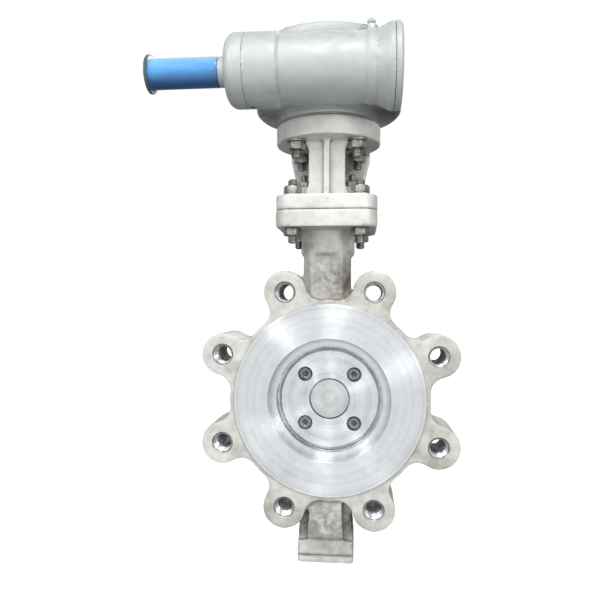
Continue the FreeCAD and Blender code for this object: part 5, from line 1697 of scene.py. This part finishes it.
        line = Shape().box((sx - 0.8, sx + 0.8), (low.y + 2.5, sy - 12), (low.z + 3.5, low.z + 4.15))
        finish_piece("pointer_line", line, self.looks.white_mark, Dress(TURNING, "pointer_paint", bevel=0))
        top, bottom = high.z - 0.4, high.z - 3.3
        head = Shape().socket_head(self.head_r, self.head_key, 2.0, Axis.Z, top, bottom, self.stem_at)
        finish_piece("pointer_cap_screw", head, self.looks.black_screw,
                     Dress(TURNING, "fasteners", ("pointer_screw",), bevel=0))

    def build_ends(self) -> None:
        """Builds the left cap with its nose, and the right cover with its screws."""
        low, high = node_box("input_end_cap")
        inner = node_box("input_cap_gasket")[0].x
        outer = inner - self.cap_t
        seal_start, pocket_r = node_box("input_seal")[0].x, half_size("input_seal", "y") + 0.02
        bore, nose_r, spigot_r = self.cap_bore_r, self.cap_nose_r, self.bearing_r - 0.1
        outline = [(bore, low.x), (nose_r - 0.6, low.x), (nose_r, low.x + 0.6), (nose_r, outer)]
        middle = (self.input_barrel_r - self.cap_round, outer + self.cap_round)
        outline += arc(middle, self.cap_round, -math.pi / 2, 0.0, 10)
        outline += [(self.input_barrel_r, inner), (spigot_r, inner), (spigot_r, high.x), (pocket_r, high.x)]
        outline += [(pocket_r, seal_start), (bore, seal_start)]
        cap = Shape().turned(outline, Axis.X, self.worm_at, steps=96)
        finish_piece("input_cap", cap, self.looks.gearbox_cast,
                     Dress(BODY, "gearbox_paint", ("input_end_cap",), bevel=0.4))
        low, high = node_box("worm_end_cover")
        start = node_box("worm_end_gasket")[1].x
        edge = self.cover_edge
        outline = [(0, start), (self.rim_r, start), (self.rim_r, high.x - edge), (self.rim_r - edge, high.x)]
        outline += [(16, high.x), (15, high.x - 0.6), (0, high.x - 0.6)]
        cover = Shape().turned(outline, Axis.X, self.worm_at)
        sinks = Shape()
        heads = Shape()
        for spot in ring_places(self.end_screws, self.end_screw_at, self.worm_at, 45):
            sinks.rod(2.6, Axis.X, high.x - 2.2, high.x + 1, spot, end_radius=5.3, segments=32)
            heads.socket_head(self.end_head_r, 3.0, 1.5, Axis.X, high.x - 0.1, high.x - 2.2, spot, root_r=2.5)
        drilled_piece("worm_cover", cover, sinks, self.looks.gearbox_cast, self.looks.bored,
                      Dress(BODY, "gearbox_paint", ("worm_end_cover",), bevel=0.4))
        finish_piece("worm_cover_screws", heads, self.looks.zinc,
                     Dress(BODY, "fasteners", ("worm_end_screws",), bevel=0))

    def build_stops(self) -> None:
        """Builds the travel stop screws and their locknuts."""
        sx = self.stem_at[0]
        low, high = node_box("stop_screws")
        nut_low, nut_high = node_box("stop_locknuts")
        screws = Shape()
        nuts = Shape()
        for side in (-1, 1):
            spot = (sx + side * self.stop_x, self.worm_at[1])
            root, edge, socket_r = self.stop_root_r, 0.8, self.stop_socket_r
            outline = [(0, low.y), (root - edge, low.y), (root, low.y + edge), (root, high.y - edge)]
            outline += [(root - edge, high.y), (socket_r, high.y), (socket_r, high.y - 4), (0, high.y - 4)]
            screws.turned(outline, Axis.Y, spot, steps=36)
            screws.ridge(root - 0.1, self.stop_r, self.stop_pitch, Axis.Y, nut_low.y - 8, high.y - 0.4, spot)
            nuts.nut(self.stop_nut_flats, self.stop_r - 0.4, Axis.Y, nut_low.y, nut_high.y, spot)
        finish_piece("stop_bolts", screws, self.looks.zinc,
                     Dress(BODY, "fasteners", ("stop_screws",), bevel=0, sharp_deg=40))
        finish_piece("stop_nuts", nuts, self.looks.zinc,
                     Dress(BODY, "fasteners", ("stop_locknuts",), bevel=0.15))

    def build_nipple(self) -> None:
        """Builds the grease nipple on the barrel's band."""
        top = node_box("grease_nipple")[1].z
        spot = (centre("grease_nipple").x, centre("grease_nipple").y)
        seat = self.worm_at[1] + self.main_barrel_r + self.band_proud - 0.8
        rule, shoulder = hexagonal(self.nipple_flats), seat + self.nipple_hex_h
        shape = Shape().loft([(rule, seat), (rule, shoulder), (4.0, shoulder + 0.7)], Axis.Z, spot)
        shape.turned([(0, seat + 5), (2.4, seat + 5), (2.2, seat + 6.6), (3.2, seat + 7.4), (3.2, seat + 8.4),
                      (1.8, top), (0, top)], Axis.Z, spot, steps=32)
        finish_piece("grease_fitting", shape, self.looks.gearbox_cast,
                     Dress(BODY, "zinc", ("grease_nipple",), bevel=0.15))

    def build(self) -> None:
        """Builds every piece of the gearbox."""
        self.build_housing()
        self.build_cover()
        self.build_ends()
        self.build_stops()
        self.build_nipple()


@dataclass
class PlasticSleeve:
    """The push-on sleeve that protects the input shaft."""

    looks: Palette
    worm_at: Point
    wall_r: float = 11.7
    bore_r: float = 10.06
    rim_r: float = 14.8
    rim_t: float = 2.5

    def build(self) -> None:
        """Builds the sleeve tube and its darker rim edge."""
        low, high = node_box("shaft_sleeve")
        tube = Shape()
        inner = low.x + self.rim_t
        soft = 0.6
        wall, rim = self.wall_r, self.rim_r - 1.2
        outline = [(0, low.x + 0.4), (wall, low.x + 0.4), (wall + 1.0, low.x), (rim, low.x), (rim, inner)]
        outline += [(wall + soft, inner), (wall, inner + soft), (wall - 0.15, high.x - 2)]
        outline += [(wall, high.x - 1.2), (wall - 0.3, high.x)]
        outline += [(self.bore_r, high.x), (self.bore_r, inner), (0, inner)]
        tube.turned(outline, Axis.X, self.worm_at, steps=80)
        finish_piece("blue_sleeve_tube", tube, self.looks.blue,
                     Dress(SLEEVE, "sleeve_plastic", ("shaft_sleeve",), bevel=0.15))
        edge = [(self.rim_r - 1.25, low.x), (self.rim_r - 0.4, low.x), (self.rim_r, low.x + 0.5)]
        edge += [(self.rim_r, inner - 0.5), (self.rim_r - 0.4, inner), (self.rim_r - 1.25, inner)]
        rim = Shape().turned(edge, Axis.X, self.worm_at, steps=80)
        finish_piece("sleeve_rim_edge", rim, self.looks.slate, Dress(SLEEVE, "sleeve_plastic", bevel=0.1))


@dataclass
class FrameLooks:
    """Materials for the frame nodes that stay as they are."""

    looks: Palette

    def apply(self, nodes: dict[str, Object]) -> None:
        """Gives each frame node its procedural material.

        Args:
            nodes: the frame's node objects by name.
        """
        looks = self.looks
        groups = {
            looks.bronze: ("lower_bushing", "upper_bushing", "thrust_disc"),
            looks.fibre: ("bottom_cover_gasket", "gearbox_flange_gasket"),
            looks.gearbox_cast: ("cover_gasket", "input_cap_gasket", "worm_end_gasket"),
            looks.plate: ("seat_ring",),
            looks.graphite: ("packing_rings", "seal_graphite_layers"),
            looks.seal_steel: ("seal_steel_layers",),
            looks.bored: ("packing_washer", "gland_bushing", "taper_pins", "stem_key", "wheel_key",
                          "pointer_spacer", "shaft_circlip", "worm_shaft"),
            looks.polished: ("bearing_outer_rings", "bearing_balls", "bearing_inner_rings"),
            looks.gear: ("worm_wheel", "drive_sleeve"),
            looks.rubber: ("input_seal",),
            looks.zinc: tuple(nodes),
        }
        done: set[str] = set()
        for look, names in groups.items():
            for name in names:
                if name in done:
                    continue
                paint(nodes[name], look)
                done.add(name)
        log.info("materials on %d frame nodes", len(done))


@dataclass(frozen=True)
class Lamp:
    """A soft square light; places and size are in metres, power in watts."""

    name: str
    spot: tuple[float, float, float]
    aim: tuple[float, float, float]
    size: float
    watts: float


@dataclass
class Studio:
    """Pale floor, soft lights and the camera."""

    lens: float = 36.0
    distance: float = 512.0
    offset: float = -26.3
    level: float = 81.6
    yaw_deg: float = 5.7
    roll_deg: float = 0.25
    floor_half: float = 12.0
    lamps: tuple[Lamp, ...] = (
        Lamp("top", (0.05, -1.1, 1.35), (0, 0, 0.05), 0.45, 7.6),
        Lamp("left", (-1.0, -1.2, 0.95), (0, 0, 0.05), 0.3, 6.0),
        Lamp("right", (1.2, -1.2, 0.35), (0, 0, 0.05), 0.35, 4.5),
        Lamp("back", (0.3, 1.2, 1.1), (0, 0, 0.1), 0.9, 9.0),
    )

    def floor(self) -> None:
        """Lays a plain pale floor just under the part."""
        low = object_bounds()[0][2]
        bm = bmesh.new()
        bmesh.ops.create_grid(bm, x_segments=1, y_segments=1, size=self.floor_half)
        bmesh.ops.translate(bm, vec=(0, 0, low - 0.0005), verts=bm.verts)
        mesh = bpy.data.meshes.new("floor")
        bm.to_mesh(mesh)
        bm.free()
        floor = add_to_scene("floor", mesh)
        floor.visible_diffuse = False
        floor.visible_glossy = False
        bench = Bench("pale_floor")
        colour = bench.ramp(bench.noise(400.0, 2.0), [(0.3, tint("fbfbfb")), (0.7, tint("ffffff"))])
        bench.shader.inputs["Emission Color"].default_value = (1.0, 1.0, 1.0, 1.0)
        bench.shader.inputs["Emission Strength"].default_value = 0.35
        floor.data.materials.append(bench.done(colour, 0.9, 0.0))
        floor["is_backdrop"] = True

    def light(self, lamp: Lamp) -> None:
        """Adds one light.

        Args:
            lamp: its place, aim, size and power.
        """
        data = bpy.data.lights.new(lamp.name, "AREA")
        data.shape = "SQUARE"
        data.size = lamp.size
        data.energy = lamp.watts
        obj = add_to_scene(lamp.name, data)
        obj.location = lamp.spot
        obj.rotation_euler = (Vector(lamp.aim) - Vector(lamp.spot)).to_track_quat("-Z", "Y").to_euler()

    def sky(self) -> None:
        """Sets white surroundings, which light the part more from above than from below."""
        world = bpy.data.worlds.new("studio")
        bpy.context.scene.world = world
        world.use_nodes = True
        background = world.node_tree.nodes["Background"]
        background.inputs["Color"].default_value = (1.0, 1.0, 1.0, 1.0)
        nodes, links = world.node_tree.nodes, world.node_tree.links
        parts = nodes.new("ShaderNodeSeparateXYZ")
        links.new(nodes.new("ShaderNodeTexCoord").outputs["Generated"], parts.inputs[0])
        spans = {"Z": (-0.7, 0.9, 0.14, 0.7), "Y": (-0.9, 0.1, 0.85, 0.0)}
        total = nodes.new("ShaderNodeMath")
        for (direction, numbers), target in zip(spans.items(), total.inputs):
            fade = nodes.new("ShaderNodeMapRange")
            fade.interpolation_type = "SMOOTHSTEP"
            links.new(parts.outputs[direction], fade.inputs["Value"])
            for key, number in zip(SPANS, numbers):
                fade.inputs[key].default_value = number
            links.new(fade.outputs["Result"], target)
        seen = nodes.new("ShaderNodeMix")
        links.new(nodes.new("ShaderNodeLightPath").outputs["Is Camera Ray"], seen.inputs[0])
        links.new(total.outputs[0], seen.inputs[2])
        seen.inputs[3].default_value = 1.03
        links.new(seen.outputs[0], background.inputs["Strength"])

    def camera(self) -> None:
        """Places the camera a little to the right of the bore's axis, level with the gland."""
        data = bpy.data.cameras.new("camera")
        data.lens = self.lens
        data.sensor_width = 36.0
        data.clip_start = 0.01
        data.clip_end = 50.0
        camera = add_to_scene("camera", data)
        turn = Matrix.Rotation(math.radians(self.yaw_deg), 4, "Z")
        camera.location = (turn @ Vector((self.offset, -self.distance, self.level))) * MM
        camera.rotation_euler = (math.radians(90), math.radians(-self.roll_deg), math.radians(self.yaw_deg))
        bpy.context.scene.camera = camera

    def build(self) -> None:
        """Sets up the whole studio."""
        bpy.context.scene.view_settings.view_transform = "Standard"
        self.floor()
        self.sky()
        for lamp in self.lamps:
            self.light(lamp)
        self.camera()


def corners(bounds: Sequence[Sequence[float]]) -> list[list[float]]:
    """A box as plain lists of numbers."""
    return [[float(c) for c in corner] for corner in bounds]


def main() -> None:
    """Builds the valve's looks in order and reports each piece."""
    logging.basicConfig(level=logging.INFO, format="%(message)s")
    stem = centre("stem")
    sleeve = centre("shaft_sleeve")
    stem_at = (stem.x, stem.y)
    worm_at = (sleeve.y, sleeve.z)
    bolts = next(m for m in frame["record"]["mounts"] if m["kind"] == "bolt_pattern")["dims"]
    looks = Palette(stem_at, worm_at)
    FrameLooks(looks).apply(frame["nodes"])
    ValveBody(looks, stem_at, bolts["pcd_mm"] / 2, bolts["count"]).build()
    DiscGroup(looks, stem_at).build()
    Bracket(looks, stem_at).build()
    Gearbox(looks, stem_at, worm_at).build()
    PlasticSleeve(looks, worm_at).build()
    Studio().build()


if __name__ == "__main__":
    main()
